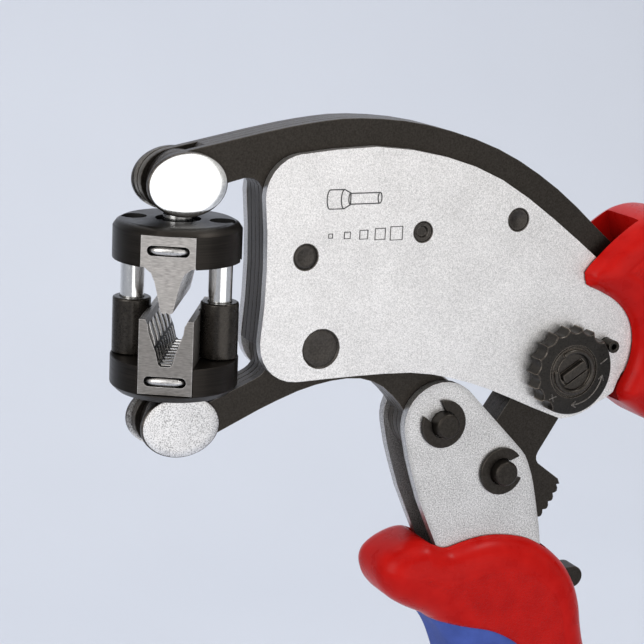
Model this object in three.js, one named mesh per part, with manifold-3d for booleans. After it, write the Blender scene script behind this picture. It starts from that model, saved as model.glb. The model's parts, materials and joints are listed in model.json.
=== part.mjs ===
// Self-adjusting crimping pliers for wire ferrules, with a die head that turns about its own axis.
// Millimetres, +Z up. The tool lies in the XZ plane: jaws towards -X, handles towards +X, front towards -Y.
// Positions below are [x, z] pairs measured from the lower jaw's pivot; the whole tool is then moved so that
// its origin is the middle of the upper grip, where a hand holds it.
import * as THREE from 'three';
import { mergeVertices } from 'three/addons/utils/BufferGeometryUtils.js';
import Module from 'manifold-3d';

const wasm = await Module();
wasm.setup();

// ---------------------------------------------------------------- driving dimensions
const HAND_GRIP = [118, -20];        // middle of the upper grip: the row's origin
const JAW_PIVOT = [0, 0];
const TAIL_PIVOT = [30.8, -19.1];    // jaw tail to moving handle
const TOGGLE_PIVOT = [46.6, -31.5];  // moving handle to push link
const DIAL_AXIS = [61.4, -8.3];      // push link to frame, turned by the setting dial
const UPPER_BOLT = [-31, 36];
const LOWER_BOLT = [-31, -14.9];
const PAWL_PIVOT = [51.5, -54.3];
const STOP_PIN = [72.3, -3.5];

const LAMINATION = { count: 4, pitch: 2, thick: 1.9 };
const PLATE_IN = 4.1;                // inner face of the silver plates, from the middle plane
const PLATE_OUT = 6.2;               // outer face
const FIT = 0.05;                    // radial gap of a fixed pin in its hole
const RUN = 0.12;                    // radial gap of a turning pin

const RIVETS = {
  frame_rivet_front: { at: [-4.5, 20.1], r: 2.85 },
  spring_anchor_pin: { at: [23.1, 24.4], r: 2.3 },
  frame_rivet_rear: { at: [46.8, 26.2], r: 2.6 },
};
const JAW_PIN_R = 4.3;
const LINK_PIN_R = 2.9;
const LINK_EYE_R = 4.1;              // wide eye round the toggle pin
const DIAL_SHAFT_R = 3;
const HUB_R = 12.3;                  // round hub of the lower jaw
const HUB_GAP = 0.5;
const TAIL_R = 8.3;
const SPRING_TAIL = [23.6, -8.2];    // lower end of the return spring
const SPRING_PIN_R = 1.3;
const STOP_PIN_R = 1.45;
const PAWL_PIN_R = 1.5;
const PLATE_RIVET_END = 6;           // riveted ends sit just inside the plates' outer faces
const CLIP = { near: 6.3, far: 7.1, r: 5.5 };

const HEAD_R = 13.4;
const HEAD_TURN = -30;               // degrees the die head is turned about its axis at rest
const HEAD_TOP = 28.3;
const HEAD_SPLIT_UPPER = 20.1;       // underside of the upper half
const HEAD_SPLIT_LOWER = 9.4;        // top of the lower die
const HEAD_BOTTOM = -7.9;
const LEDGE = -0.5;                  // ledge that the guide sleeves stand on
const WEB = 1.5;                     // thickness of the head's end webs
const DIE_HALF = 5.6;                // half width of the die packs
const DIE_SLOT = DIE_HALF + 0.1;     // half width of the slots they sit in
const DIE_REACH = 12.15;             // half length of the die packs
const GUIDE_OFFSET = 9.2;
const GUIDE_PIN_R = 2.5;
const SLEEVE_R = 4.05;
const BOLT_R = 4;
const EYE_R = 6;
const NECK_R = 3.2;
const FLANGE_R = 4.5;
const FLANGE_THICK = 1.3;
const FLANGE_GAP = 0.15;
const SPIGOT_R = 3.2;                // reduced foot of a guide sleeve
const PIN_END = 3.8;                 // lower end of the guide pins
const STAPLE_Z = { upper: 23.6, lower: -3.5 };
const STAPLE_HALF = 3.4;

const DIAL_R = 10.15;
const GRIP_HALF = 11;                // half thickness of the grips
const POCKET_HALF = 6.5;             // half thickness of the slot a grip has for its steel core

// ---------------------------------------------------------------- materials
const steelOf = (color, roughness) => new THREE.MeshStandardMaterial({ color, roughness, metalness: 0.9 });
const BLACK = steelOf(0x2d2a28, 0.5);
const SILVER = steelOf(0xd0d0ce, 0.35);
const BRIGHT = steelOf(0xe6e6e4, 0.2);
const DIE_STEEL = steelOf(0x8c8680, 0.4);
const RED = new THREE.MeshStandardMaterial({ color: 0xb8191a, roughness: 0.45, metalness: 0 });
const BLUE = new THREE.MeshStandardMaterial({ color: 0x3e5095, roughness: 0.6, metalness: 0 });

// ---------------------------------------------------------------- helpers
const deg = THREE.MathUtils.degToRad;

function solidOf(geometry) {
  const g = geometry.index ? geometry.toNonIndexed() : geometry.clone();
  g.deleteAttribute('normal');
  g.deleteAttribute('uv');
  const merged = mergeVertices(g, 1e-4);
  return new wasm.Manifold(new wasm.Mesh({
    numProp: 3,
    vertProperties: new Float32Array(merged.attributes.position.array),
    triVerts: new Uint32Array(merged.index.array),
  }));
}

function geometryOf(solid) {
  const mesh = solid.getMesh();
  const g = new THREE.BufferGeometry();
  g.setAttribute('position', new THREE.BufferAttribute(new Float32Array(mesh.vertProperties), 3));
  g.setIndex(new THREE.BufferAttribute(new Uint32Array(mesh.triVerts), 1));
  return g;
}

// A plate: an outline drawn in x and z, filling y from yLow to yHigh.
function plate(shape, yLow, yHigh) {
  return new THREE.ExtrudeGeometry(shape, { depth: yHigh - yLow, bevelEnabled: false })
    .rotateX(Math.PI / 2)
    .translate(0, yHigh, 0);
}

// A turned piece about +Z from [radius, height] points that start and end on the axis, lowest first.
function turned(profile, segments = 20) {
  const points = profile.map(([r, h]) => new THREE.Vector2(r, h));
  return new THREE.LatheGeometry(points, segments).rotateX(Math.PI / 2);
}

// A turned ring or tube about +Z.
const tube = (inner, outer, low, high, segments = 20) => turned(
  [[inner, low], [outer, low], [outer, high], [inner, high], [inner, low]], segments);

// The same pieces about an axis along Y through [x, z]; heights become y.
const alongY = (geometry, [x, z]) => geometry.rotateX(-Math.PI / 2).translate(x, 0, z);
const rod = (radius, low, high, segments = 20) => turned(
  [[0, low], [radius, low], [radius, high], [0, high]], segments);

// Outlines are lists of points in x and z. arcPoints steps evenly round a circle or an oval;
// splinePoints runs smoothly through its pairs.
const ARC_STEP = 13;
const vectors = (pairs) => pairs.map(([x, z]) => new THREE.Vector2(x, z));
const polar = ([x, z], r, degrees) => [x + r * Math.cos(deg(degrees)), z + r * Math.sin(deg(degrees))];

function arcPoints([x, z], r, from, to, rz = r) {
  const steps = Math.max(2, Math.ceil(Math.abs(to - from) / ARC_STEP));
  return Array.from({ length: steps + 1 }, (_, k) => {
    const a = deg(from + (k / steps) * (to - from));
    return [x + r * Math.cos(a), z + rz * Math.sin(a)];
  });
}

function splinePoints(pairs, perSpan = 2) {
  const points = new THREE.SplineCurve(vectors(pairs)).getPoints(perSpan * (pairs.length - 1));
  return points.map((p) => [p.x, p.y]);
}

function bendPoints(start, corner, end) {
  const bend = new THREE.QuadraticBezierCurve(...vectors([start, corner, end]));
  return bend.getPoints(4).map((p) => [p.x, p.y]);
}

function disc([x, z], radius, segments = 14) {
  const turn = Array.from({ length: segments }, (_, k) => polar([x, z], radius, (k / segments) * 360));
  return new THREE.Shape(vectors(turn));
}

// A round hole whose flats, not its corners, lie at the given radius, so that any shaft fits.
const bore = (at, radius, segments = 14) => disc(at, radius / Math.cos(Math.PI / segments), segments);

function outline(parts, holes = []) {
  const points = parts.flat();
  const far = (p, q) => Math.hypot(p[0] - q[0], p[1] - q[1]) > 0.02;
  const clean = points.filter((p, i) => far(p, points[(i + 1) % points.length]));
  const shape = new THREE.Shape(vectors(clean));
  shape.holes.push(...holes);
  return shape;
}

const layer = (i) => {
  const middle = (i - (LAMINATION.count - 1) / 2) * LAMINATION.pitch;
  return [middle - LAMINATION.thick / 2, middle + LAMINATION.thick / 2];
};
const isInner = (i) => i > 0 && i < LAMINATION.count - 1;

const tool = new THREE.Group();
tool.position.set(-HAND_GRIP[0], 0, -HAND_GRIP[1]);

function add(name, geometry, material, group = tool) {
  const mesh = new THREE.Mesh(geometry, material);
  mesh.name = name;
  group.add(mesh);
  return mesh;
}

// ---------------------------------------------------------------- frame: side plates and upper arm
const ARM_TOP = [
  [-15, 46.1], [-4, 48], [8, 48.9], [24, 47.2], [42, 41.6], [58, 32.2], [74, 18.9], [92, 5.3], [106, -3],
  [119, -13.5],
];
const TANG_END = [116.2, -19.6];

function sidePlateShape(extraHoles = []) {
  const tangEnd = [TANG_END[0] - 1.4, TANG_END[1] + 1];
  return outline([
    bendPoints([-14.2, 2.4], [-12.5, 18], [-14.2, 33]),
    arcPoints([-5.2, 33], 9, 180, 95),
    splinePoints([[-6, 41.9], [11, 43.1], [28, 40.5], [42, 35.2], [56, 26], [70, 15.2], [84, 4.5], [100, -5],
      [116.5, -16.5]]),
    arcPoints(tangEnd, 3.2, 40, -125),
    splinePoints([[97, -16.6], [84, -10.5], [77.5, -10.5], [75.4, -15.2], [71.2, -17.4]]),
    bendPoints([71.2, -17.4], [67, -20.5], [61.6, -20.5]),
    splinePoints([[61.6, -20.5], [54, -17.3], [42, -12], [32, -8.7], [22, -6.8], [8, -6.6], [-4, -6.9]]),
    arcPoints([-5.6, 1.7], 8.6, 270, 180),
  ], [
    ...Object.values(RIVETS).map(({ at, r }) => bore(at, r + FIT)),
    bore(JAW_PIVOT, JAW_PIN_R + FIT),
    bore(DIAL_AXIS, DIAL_SHAFT_R + RUN),
    ...extraHoles,
  ]);
}

// The arm's outer edge runs over the top into the grip; its inner edge clears the jaw's hub and tail, the
// push link's eye and, on the inner two laminations, the return spring and the fork for the head's stem.
function armShape(inner) {
  const { frame_rivet_front: front, frame_rivet_rear: rear, spring_anchor_pin: anchor } = RIVETS;
  const fork = EYE_R + 0.6;
  const nose = inner
    ? [arcPoints(UPPER_BOLT, fork, 0, 62)]
    : [[[-23.2, 35.6]], arcPoints(UPPER_BOLT, 7.7, -22, -250, 6.6), [[-30, 43]]];
  const lowerEdge = inner
    ? [[[26.7, -3.2]], arcPoints(anchor.at, 3.6, 0, 180), [[19.5, 1.4]]]
    : [[[25.4, -3.2]]];
  const holes = [bore(front.at, front.r + FIT), bore(rear.at, rear.r + FIT)];
  if (!inner) holes.push(bore(anchor.at, anchor.r + FIT), bore(UPPER_BOLT, BOLT_R + RUN));
  return outline([
    ...nose,
    [[-26.5, 43.7]],
    splinePoints(ARM_TOP, 3),
    arcPoints([TANG_END[0], TANG_END[1] + 2], 3.4, 30, -120),
    splinePoints([[98, -12.4], [84, -5.4], [74, -2.6]]),
    arcPoints(DIAL_AXIS, 9.5, 30, 148),
    [[50.5, -3.2]],
    ...lowerEdge,
    arcPoints(JAW_PIVOT, HUB_R + HUB_GAP, 52, 175),
    splinePoints([[-14.1, 1.2], [-13.6, 9], [-13.3, 18], [-13.6, 26], [-14, 33.4]]),
    bendPoints([-14, 33.4], [-14, 36.9], [-18, 36.9]),
  ], holes);
}

function addFrame() {
  const stopHole = bore(STOP_PIN, STOP_PIN_R + FIT);
  add('side_plate_front', plate(sidePlateShape([stopHole]), -PLATE_OUT, -PLATE_IN), SILVER);
  add('side_plate_rear', plate(sidePlateShape(), PLATE_IN, PLATE_OUT), SILVER);
  for (let i = 0; i < LAMINATION.count; i += 1) {
    add(`upper_arm_lamination_${i + 1}`, plate(armShape(isInner(i)), ...layer(i)), BLACK);
  }
  for (const [name, { at, r }] of Object.entries(RIVETS)) {
    add(name, alongY(rod(r, -PLATE_RIVET_END, PLATE_RIVET_END, 18), at), BLACK);
  }
  const pivot = rod(JAW_PIN_R, -PLATE_RIVET_END, PLATE_RIVET_END, 18);
  add('jaw_pivot_pin', alongY(pivot, JAW_PIVOT), BLACK);
  add('dial_stop_pin', alongY(tube(0.7, STOP_PIN_R, -9.8, -PLATE_IN - 0.2, 16), STOP_PIN), BLACK);
}

// ---------------------------------------------------------------- lower jaw
function jawShape(inner) {
  const nose = inner
    ? [[[-24.6, -10.7]], arcPoints(LOWER_BOLT, EYE_R + 0.8, 36, -32)]
    : [[[-25, -10.75]], arcPoints(LOWER_BOLT, 7.7, 44, 330, 6.6)];
  const holes = [bore(JAW_PIVOT, JAW_PIN_R + RUN), bore(TAIL_PIVOT, LINK_PIN_R + RUN)];
  holes.push(bore(SPRING_TAIL, inner ? 3.1 : SPRING_PIN_R + FIT));
  if (!inner) holes.push(bore(LOWER_BOLT, BOLT_R + RUN));
  return outline([
    arcPoints(JAW_PIVOT, HUB_R, 52.2, 198),
    bendPoints(polar(JAW_PIVOT, HUB_R, 198), [-12, -5.2], [-14.2, -6.2]),
    ...nose,
    [[-12.7, -12.9]],
    splinePoints([[-12.7, -12.9], [-4, -9.6], [4, -7.9], [11, -7.9], [16.6, -10.2], [20.9, -14.4]]),
    arcPoints(TAIL_PIVOT, TAIL_R, 165, 412.2),
  ], holes);
}

function addJaw() {
  for (let i = 0; i < LAMINATION.count; i += 1) {
    let geometry = plate(jawShape(isInner(i)), ...layer(i));
    if (isInner(i)) geometry = geometryOf(solidOf(geometry).subtract(springSlot(i)));
    add(`lower_jaw_lamination_${i + 1}`, geometry, BLACK);
  }
  add('spring_tail_pin', alongY(rod(SPRING_PIN_R, -3.9, 3.9, 16), SPRING_TAIL), BLACK);
}

// Slot in an inner jaw lamination from its top edge down to the spring's lower pin.
function springSlot(i) {
  const [low, high] = layer(i);
  const box = new THREE.BoxGeometry(5.2, high - low + 0.4, 16);
  return solidOf(box.translate(SPRING_TAIL[0] - 0.3, (low + high) / 2, SPRING_TAIL[1] + 8));
}

// ---------------------------------------------------------------- return spring
function addSpring() {
  const wire = 0.4;
  const [topX, topZ] = RIVETS.spring_anchor_pin.at;
  const topLoop = RIVETS.spring_anchor_pin.r + wire + 0.15;
  const tailLoop = SPRING_PIN_R + wire + 0.15;
  const coils = { radius: 1.35, turns: 6, high: 17.5, low: -2 };
  const points = [];
  for (let a = 200; a >= -60; a -= 26) {
    points.push(new THREE.Vector3(topX + topLoop * Math.cos(deg(a)), 0, topZ + topLoop * Math.sin(deg(a))));
  }
  const steps = coils.turns * 8;
  for (let k = 0; k <= steps; k += 1) {
    const t = k / steps;
    const a = t * coils.turns * 2 * Math.PI;
    const x = topX + t * (SPRING_TAIL[0] - topX);
    const z = coils.high + t * (coils.low - coils.high);
    points.push(new THREE.Vector3(x + coils.radius * Math.cos(a), coils.radius * Math.sin(a), z));
  }
  for (let a = 60; a >= -200; a -= 26) {
    const [x, z] = polar(SPRING_TAIL, tailLoop, a);
    points.push(new THREE.Vector3(x, 0, z));
  }
  const section = new THREE.Shape();
  for (let k = 0; k < 5; k += 1) {
    const a = (k / 5) * 2 * Math.PI;
    section[k ? 'lineTo' : 'moveTo'](wire * Math.cos(a), wire * Math.sin(a));
  }
  const extrudePath = new THREE.CatmullRomCurve3(points);
  const coil = new THREE.ExtrudeGeometry(section, { steps: 64, extrudePath, bevelEnabled: false });
  add('return_spring', coil, SILVER);
}

// ---------------------------------------------------------------- push link with its ratchet sector
const RATCHET = { tip: 18.5, root: 17.7, from: -18.5, pitch: 7.2, teeth: 5 };

function linkShape() {
  const { tip, root, from, pitch, teeth } = RATCHET;
  const rows = [];
  for (let k = teeth; k > 0; k -= 1) {
    const low = from - k * pitch;
    rows.push([polar(TOGGLE_PIVOT, root, low), polar(TOGGLE_PIVOT, tip - 0.2, low + 0.2 * pitch)]);
    rows.push([polar(TOGGLE_PIVOT, tip, low + 0.4 * pitch)]);
    rows.push([polar(TOGGLE_PIVOT, tip - 0.2, low + 0.7 * pitch)]);
  }
  return outline([
    arcPoints(DIAL_AXIS, 8.2, -48, 190),
    arcPoints(TOGGLE_PIVOT, 7.2, 128, 262),
    ...rows,
    [
      polar(TOGGLE_PIVOT, root, from),
      polar(TOGGLE_PIVOT, tip, from + 1),
      polar(TOGGLE_PIVOT, 17.6, from + 4.5),
    ],
    bendPoints([59, -32.3], [56.4, -30.8], [57.8, -28.6]),
  ], [bore(DIAL_AXIS, DIAL_SHAFT_R + RUN), bore(TOGGLE_PIVOT, LINK_EYE_R)]);
}

function addLink() {
  for (let i = 0; i < LAMINATION.count; i += 1) {
    add(`push_link_lamination_${i + 1}`, plate(linkShape(), ...layer(i)), BLACK);
  }
}

// ---------------------------------------------------------------- moving handle: plates, pins, clips, pawl
const HANDLE_TANG = [[34.5, -56], [39.5, -69], [47, -85], [57, -101]];

function handlePlateShape() {
  return outline([
    arcPoints(TAIL_PIVOT, 9.5, 48, 192),
    splinePoints([[22.7, -26.4], [26, -36.5], [31.2, -48], ...HANDLE_TANG], 2),
    arcPoints([60.2, -99.8], 3.6, 200, 372),
    splinePoints([
      [57, -82], [53.5, -70], [58.4, -58], [58.6, -50], [57.1, -42], [55.5, -35], [54.3, -31.5],
      [52.8, -28.3], [50.3, -25.5],
    ], 2),
  ], [
    bore(TAIL_PIVOT, LINK_PIN_R + FIT),
    bore(TOGGLE_PIVOT, LINK_PIN_R + FIT),
    bore(PAWL_PIVOT, PAWL_PIN_R + FIT, 12),
  ]);
}

// Open ring with its mouth along the given angle.
const clipShape = (at, mouth) => outline([
  arcPoints(at, CLIP.r, mouth + 28, mouth + 332),
  arcPoints(at, LINK_PIN_R + 0.15, mouth + 318, mouth + 42),
]);

function addHandle() {
  add('handle_plate_front', plate(handlePlateShape(), -PLATE_OUT, -PLATE_IN), SILVER);
  add('handle_plate_rear', plate(handlePlateShape(), PLATE_IN, PLATE_OUT), SILVER);
  const pinProfile = [
    [0, -9.4], [2.5, -9.4], [LINK_PIN_R, -9], [LINK_PIN_R, 6.3], [4.3, 6.3], [4.3, 7.5], [0, 7.5],
  ];
  add('tail_pivot_pin', alongY(turned(pinProfile), TAIL_PIVOT), BLACK);
  add('toggle_pin', alongY(turned(pinProfile), TOGGLE_PIVOT), BLACK);
  add('tail_pivot_clip', plate(clipShape(TAIL_PIVOT, 128), -CLIP.far, -CLIP.near), BLACK);
  add('toggle_clip', plate(clipShape(TOGGLE_PIVOT, 8), -CLIP.far, -CLIP.near), BLACK);
  const pawlPin = rod(PAWL_PIN_R, -PLATE_RIVET_END, PLATE_RIVET_END, 12);
  add('pawl_pin', alongY(pawlPin, PAWL_PIVOT), BLACK);
}

function addPawl() {
  const pawl = outline([
    arcPoints(PAWL_PIVOT, 3.4, 100, 290),
    [[62, -61.2], [66.8, -62.6], [66.8, -59.4], [61, -57.2], [55, -52.8], [57.6, -48.4], [56.3, -48.6]],
  ], [bore(PAWL_PIVOT, PAWL_PIN_R + RUN, 12)]);
  add('ratchet_pawl', plate(pawl, -1.9, 1.9), BLACK);
  const lug = outline([arcPoints([70.8, -61.3], 2.6, -90, 90), [[67, -58.7], [67, -63.9]]]);
  add('release_lug', plate(lug, -2.6, 2.6), BLACK);
  const leaf = outline([[[41, -60.4], [54, -59.5], [61.5, -62.4], [61.3, -63], [54, -60.2], [41, -61.1]]]);
  add('pawl_spring', plate(leaf, -1.6, 1.6), SILVER);
}

// ---------------------------------------------------------------- setting dial
const SCALLOP = { pitch: 20, from: 40, to: 240, depth: 1.1 };

function dialShape() {
  const points = [];
  for (let a = SCALLOP.from; a < SCALLOP.to; a += SCALLOP.pitch) {
    const dip = polar(DIAL_AXIS, DIAL_R - 2 * SCALLOP.depth, a + SCALLOP.pitch / 2);
    points.push(bendPoints(polar(DIAL_AXIS, DIAL_R, a), dip, polar(DIAL_AXIS, DIAL_R, a + SCALLOP.pitch)));
  }
  points.push(arcPoints(DIAL_AXIS, DIAL_R, SCALLOP.to, SCALLOP.from + 360));
  return outline(points, [bore(DIAL_AXIS, 3.5)]);
}

function addDial() {
  add('dial_wheel', plate(dialShape(), -10.5, -6.5), BLACK);
  add('dial_shaft', alongY(turned([
    [0, -4.5], [1.6, -4.5], [1.6, -7.9], [DIAL_SHAFT_R, -7.9], [DIAL_SHAFT_R, 7.6], [0, 7.6],
  ]), DIAL_AXIS), BLACK);
  add('dial_screw', alongY(turned([
    [0, -10.9], [3.2, -10.9], [3.3, -10.6], [3.3, -8.1], [1.45, -8.1], [1.45, -4.8], [0, -4.8],
  ]), DIAL_AXIS), BLACK);
  add('dial_retaining_ring', alongY(tube(DIAL_SHAFT_R + 0.1, 5, 6.35, 7.15), DIAL_AXIS), BLACK);
}

// ---------------------------------------------------------------- cross bolts and stems that carry the head
const STEM_HALF = 1.9;
const BOLT_END = 4.05;
const CARRIERS = {
  upper: { bolt: UPPER_BOLT, face: HEAD_TOP, up: 1, reach: 0.9 },
  lower: { bolt: LOWER_BOLT, face: HEAD_BOTTOM, up: -1, reach: 0.25 },
};

// The oval cap has a low roof with an upright ridge. side is -1 at the front and 1 at the rear.
function capGeometry([x, z], side) {
  const slab = solidOf(plate(outline([arcPoints([x, z], 8.7, 0, 360, 6.7)]), 0, 2));
  const roof = outline([[[x - 10, 0], [x + 10, 0], [x + 10, 1], [x, 1.6], [x - 10, 1]]]);
  const prism = new THREE.ExtrudeGeometry(roof, { depth: 20, bevelEnabled: false }).translate(0, 0, z - 10);
  const cap = geometryOf(slab.intersect(solidOf(prism)));
  if (side > 0) return cap.translate(0, PLATE_IN, 0);
  return cap.translate(-x, 0, -z).rotateZ(Math.PI).translate(x, -PLATE_IN, z);
}

// Eye around the bolt, a slim shank between the fork's cheeks, a wider neck that shows above the head's face
// by the given reach, and a flange behind the head's web. up is 1 above the head and -1 below it.
function stemGeometry({ bolt: [x, z], face, up, reach }) {
  const ring = outline([arcPoints([x, z], EYE_R, 0, 360)], [bore([x, z], BOLT_R + FIT)]);
  const shankStart = z - up * (EYE_R - 1.2);
  const inside = face - up * (WEB + FLANGE_GAP);
  const end = inside - up * FLANGE_THICK;
  const between = (radius, from, segments) => rod(radius, Math.min(from, end), Math.max(from, end), segments);
  const pieces = [
    between(STEM_HALF - 0.05, shankStart, 12),
    between(NECK_R, face + up * reach, 20),
    between(FLANGE_R, inside, 20),
  ];
  const eye = solidOf(plate(ring, -STEM_HALF, STEM_HALF));
  return geometryOf(pieces.reduce((solid, piece) => solid.add(solidOf(piece.translate(x, 0, 0))), eye));
}

function addHeadCarriers() {
  for (const [side, carrier] of Object.entries(CARRIERS)) {
    add(`${side}_cross_bolt`, alongY(rod(BOLT_R, -BOLT_END, BOLT_END), carrier.bolt), BRIGHT);
    add(`${side}_bolt_cap_front`, capGeometry(carrier.bolt, -1), BRIGHT);
    add(`${side}_bolt_cap_rear`, capGeometry(carrier.bolt, 1), BRIGHT);
    add(`${side}_head_stem`, stemGeometry(carrier), BRIGHT);
  }
}

// ---------------------------------------------------------------- die head (its own turned group)
const head = new THREE.Group();
head.position.set(UPPER_BOLT[0], 0, 0);
head.rotation.z = deg(HEAD_TURN);
tool.add(head);

const bothSides = (make) => [make(-1), make(1)];
const post = (radius, low, high, side, segments = 20) => solidOf(rod(radius, low, high, segments)
  .translate(side * GUIDE_OFFSET, 0, 0));

function subtractAll(solid, cutters) {
  return cutters.reduce((rest, cutter) => rest.subtract(cutter), solid);
}

// A box between its low and high corners.
function boxSolid(low, high) {
  const size = high.map((h, i) => h - low[i]);
  const middle = high.map((h, i) => (h + low[i]) / 2);
  return solidOf(new THREE.BoxGeometry(...size).translate(...middle));
}

function upperHeadBody() {
  const body = solidOf(turned([
    [0, HEAD_SPLIT_UPPER],
    [HEAD_R, HEAD_SPLIT_UPPER],
    [HEAD_R, HEAD_TOP - 1.6],
    [HEAD_R - 0.7, HEAD_TOP - 0.6],
    [HEAD_R - 1.9, HEAD_TOP],
    [0, HEAD_TOP],
  ], 40));
  const slot = boxSolid([-DIE_SLOT, -20, HEAD_SPLIT_UPPER - 1], [DIE_SLOT, 20, HEAD_TOP - WEB]);
  const stemHole = solidOf(rod(NECK_R + RUN, HEAD_TOP - 3, HEAD_TOP + 1, 20));
  const flangeRoom = solidOf(rod(FLANGE_R + 0.3, HEAD_TOP - 5, HEAD_TOP - WEB, 20));
  const mouth = HEAD_SPLIT_UPPER - 1;
  const pinHoles = bothSides((side) => post(GUIDE_PIN_R + FIT, mouth, HEAD_TOP - 1.7, side));
  const counterbores = bothSides((side) => post(SLEEVE_R + 0.25, mouth, HEAD_SPLIT_UPPER + 2.1, side));
  return subtractAll(body, [slot, stemHole, flangeRoom, ...pinHoles, ...counterbores, ...topRecesses()]);
}

// Shallow round recesses in the top face, one over each guide pin and one round the stem.
function topRecesses() {
  const floor = HEAD_TOP - 0.8;
  const overPins = bothSides((side) => post(GUIDE_PIN_R + 0.2, floor, HEAD_TOP + 1, side));
  return [...overPins, solidOf(rod(FLANGE_R + 0.3, floor, HEAD_TOP + 1))];
}

function lowerHeadBody() {
  const drum = solidOf(turned([
    [0, HEAD_BOTTOM], [HEAD_R - 1.6, HEAD_BOTTOM], [HEAD_R, HEAD_BOTTOM + 1.5], [HEAD_R, LEDGE], [0, LEDGE],
  ], 40));
  const slot = boxSolid([-DIE_SLOT, -20, HEAD_BOTTOM + WEB], [DIE_SLOT, 20, LEDGE + 1]);
  const stemHole = solidOf(rod(NECK_R + 0.6, HEAD_BOTTOM - 1, HEAD_BOTTOM + 3, 20));
  const spigotHoles = bothSides((side) => post(SPIGOT_R + FIT, -3.2, LEDGE + 1, side));
  const pinHoles = bothSides((side) => post(GUIDE_PIN_R + 0.2, HEAD_BOTTOM + 0.8, 0, side));
  return subtractAll(drum, [slot, stemHole, ...spigotHoles, ...pinHoles]);
}

// Half profiles of the two dies, from the outside in: half width and height.
const PUNCH = [
  [4.9, 20.2], [3.4, 19], [2.7, 17.4], [2.1, 15], [1.65, 12.8], [1.2, 10.95], [0.5, 10.7], [0, 11],
];
const VEE = [[4.35, 9.4], [3.75, 8.3], [3.55, 6.7], [2.9, 4.9], [2.05, 2.7], [1.45, 0.2], [0.95, -0.3]];

function mirrored(profile) {
  const other = profile.map(([u, z]) => [-u, z]).reverse();
  return vectors([...profile, ...other.filter(([u]) => u !== 0)]);
}

// guides and flange are the heights over which the guides and the stem's flange need room.
function diePack(shape, { guides, flange, stapleZ }) {
  const block = solidOf(plate(new THREE.Shape(shape), -DIE_REACH, DIE_REACH));
  const flangeRoom = solidOf(rod(FLANGE_R + 0.3, ...flange, 20));
  const guideRoom = bothSides((side) => post(SLEEVE_R + 0.25, ...guides, side));
  return subtractAll(block, [flangeRoom, ...guideRoom, ...staplePockets(stapleZ)]);
}

function staplePockets(z) {
  const half = STAPLE_HALF - 0.1;
  return bothSides((side) => {
    const s = outline([arcPoints([half, z], 1.05, -90, 90), arcPoints([-half, z], 1.05, 90, 270)]);
    const depth = DIE_REACH - 2;
    return solidOf(side > 0 ? plate(s, depth, DIE_REACH + 1) : plate(s, -DIE_REACH - 1, -depth));
  });
}

function stapleGeometry(z, side) {
  const y = side * (DIE_REACH - 0.75);
  const sunk = y - side * 0.5;
  const points = [
    [-STAPLE_HALF, sunk],
    [-STAPLE_HALF + 0.9, y],
    [STAPLE_HALF - 0.9, y],
    [STAPLE_HALF, sunk],
  ].map(([u, v]) => new THREE.Vector3(u, v, z));
  const extrudePath = new THREE.CatmullRomCurve3(points);
  return new THREE.ExtrudeGeometry(disc([0, 0], 0.72, 8), { steps: 6, extrudePath, bevelEnabled: false });
}

function addHead() {
  add('upper_head_body', geometryOf(upperHeadBody()), BLACK, head);
  add('lower_head_body', geometryOf(lowerHeadBody()), BLACK, head);
  const top = HEAD_TOP - WEB - FLANGE_GAP;
  const floor = HEAD_BOTTOM + WEB + FLANGE_GAP;
  const [, punchRoot] = PUNCH[0];
  const [, veeMouth] = VEE[0];
  const punch = [
    ...vectors([[-DIE_HALF, top], [-DIE_HALF, punchRoot]]),
    ...mirrored(PUNCH).reverse(),
    ...vectors([[DIE_HALF, punchRoot], [DIE_HALF, top]]),
  ];
  const vee = [
    ...vectors([[DIE_HALF, floor], [DIE_HALF, veeMouth]]),
    ...mirrored(VEE),
    ...vectors([[-DIE_HALF, veeMouth], [-DIE_HALF, floor]]),
  ];
  add('punch_pack', geometryOf(diePack(punch, {
    guides: [HEAD_SPLIT_UPPER - 1, HEAD_SPLIT_UPPER + 2.1],
    flange: [top - 2, top + 1],
    stapleZ: STAPLE_Z.upper,
  })), DIE_STEEL, head);
  add('vee_die_pack', geometryOf(diePack(vee, {
    guides: [LEDGE - 0.3, HEAD_SPLIT_LOWER + 1],
    flange: [floor - 1, floor + 2],
    stapleZ: STAPLE_Z.lower,
  })), DIE_STEEL, head);
  for (const [name, side] of [['left', -1], ['right', 1]]) {
    const x = side * GUIDE_OFFSET;
    const pin = rod(GUIDE_PIN_R, PIN_END, HEAD_TOP - 1.9).translate(x, 0, 0);
    add(`guide_pin_${name}`, pin, BRIGHT, head);
    add(`guide_sleeve_${name}`, sleeveGeometry().translate(x, 0, 0), BLACK, head);
  }
  for (const [side, z] of Object.entries(STAPLE_Z)) {
    add(`${side}_staple_front`, stapleGeometry(z, -1), BRIGHT, head);
    add(`${side}_staple_rear`, stapleGeometry(z, 1), BRIGHT, head);
  }
}

// A sleeve that stands on the head's ledge, its reduced foot sunk into the block.
function sleeveGeometry() {
  const inner = GUIDE_PIN_R + 0.1;
  const foot = LEDGE + 0.15;
  const rim = HEAD_SPLIT_LOWER + 2;
  return turned([
    [inner, -3], [SPIGOT_R, -3], [SPIGOT_R, foot], [SLEEVE_R, foot], [SLEEVE_R, rim - 0.3],
    [SLEEVE_R - 0.3, rim], [inner, rim], [inner, -3],
  ]);
}

// ---------------------------------------------------------------- grips
// Two edges at a given half width to either side of a centre line, for the part of a grip the hand holds.
function neckEdges(centres, widths) {
  const curve = new THREE.SplineCurve(vectors(centres));
  const rows = centres.map((_, i) => {
    const t = i / (centres.length - 1);
    const p = curve.getPoint(t);
    const d = curve.getTangent(t);
    const w = widths[i];
    return { left: [p.x - d.y * w, p.y + d.x * w], right: [p.x + d.y * w, p.y - d.x * w] };
  });
  return { left: rows.map((r) => r.left), right: rows.map((r) => r.right) };
}

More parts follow.
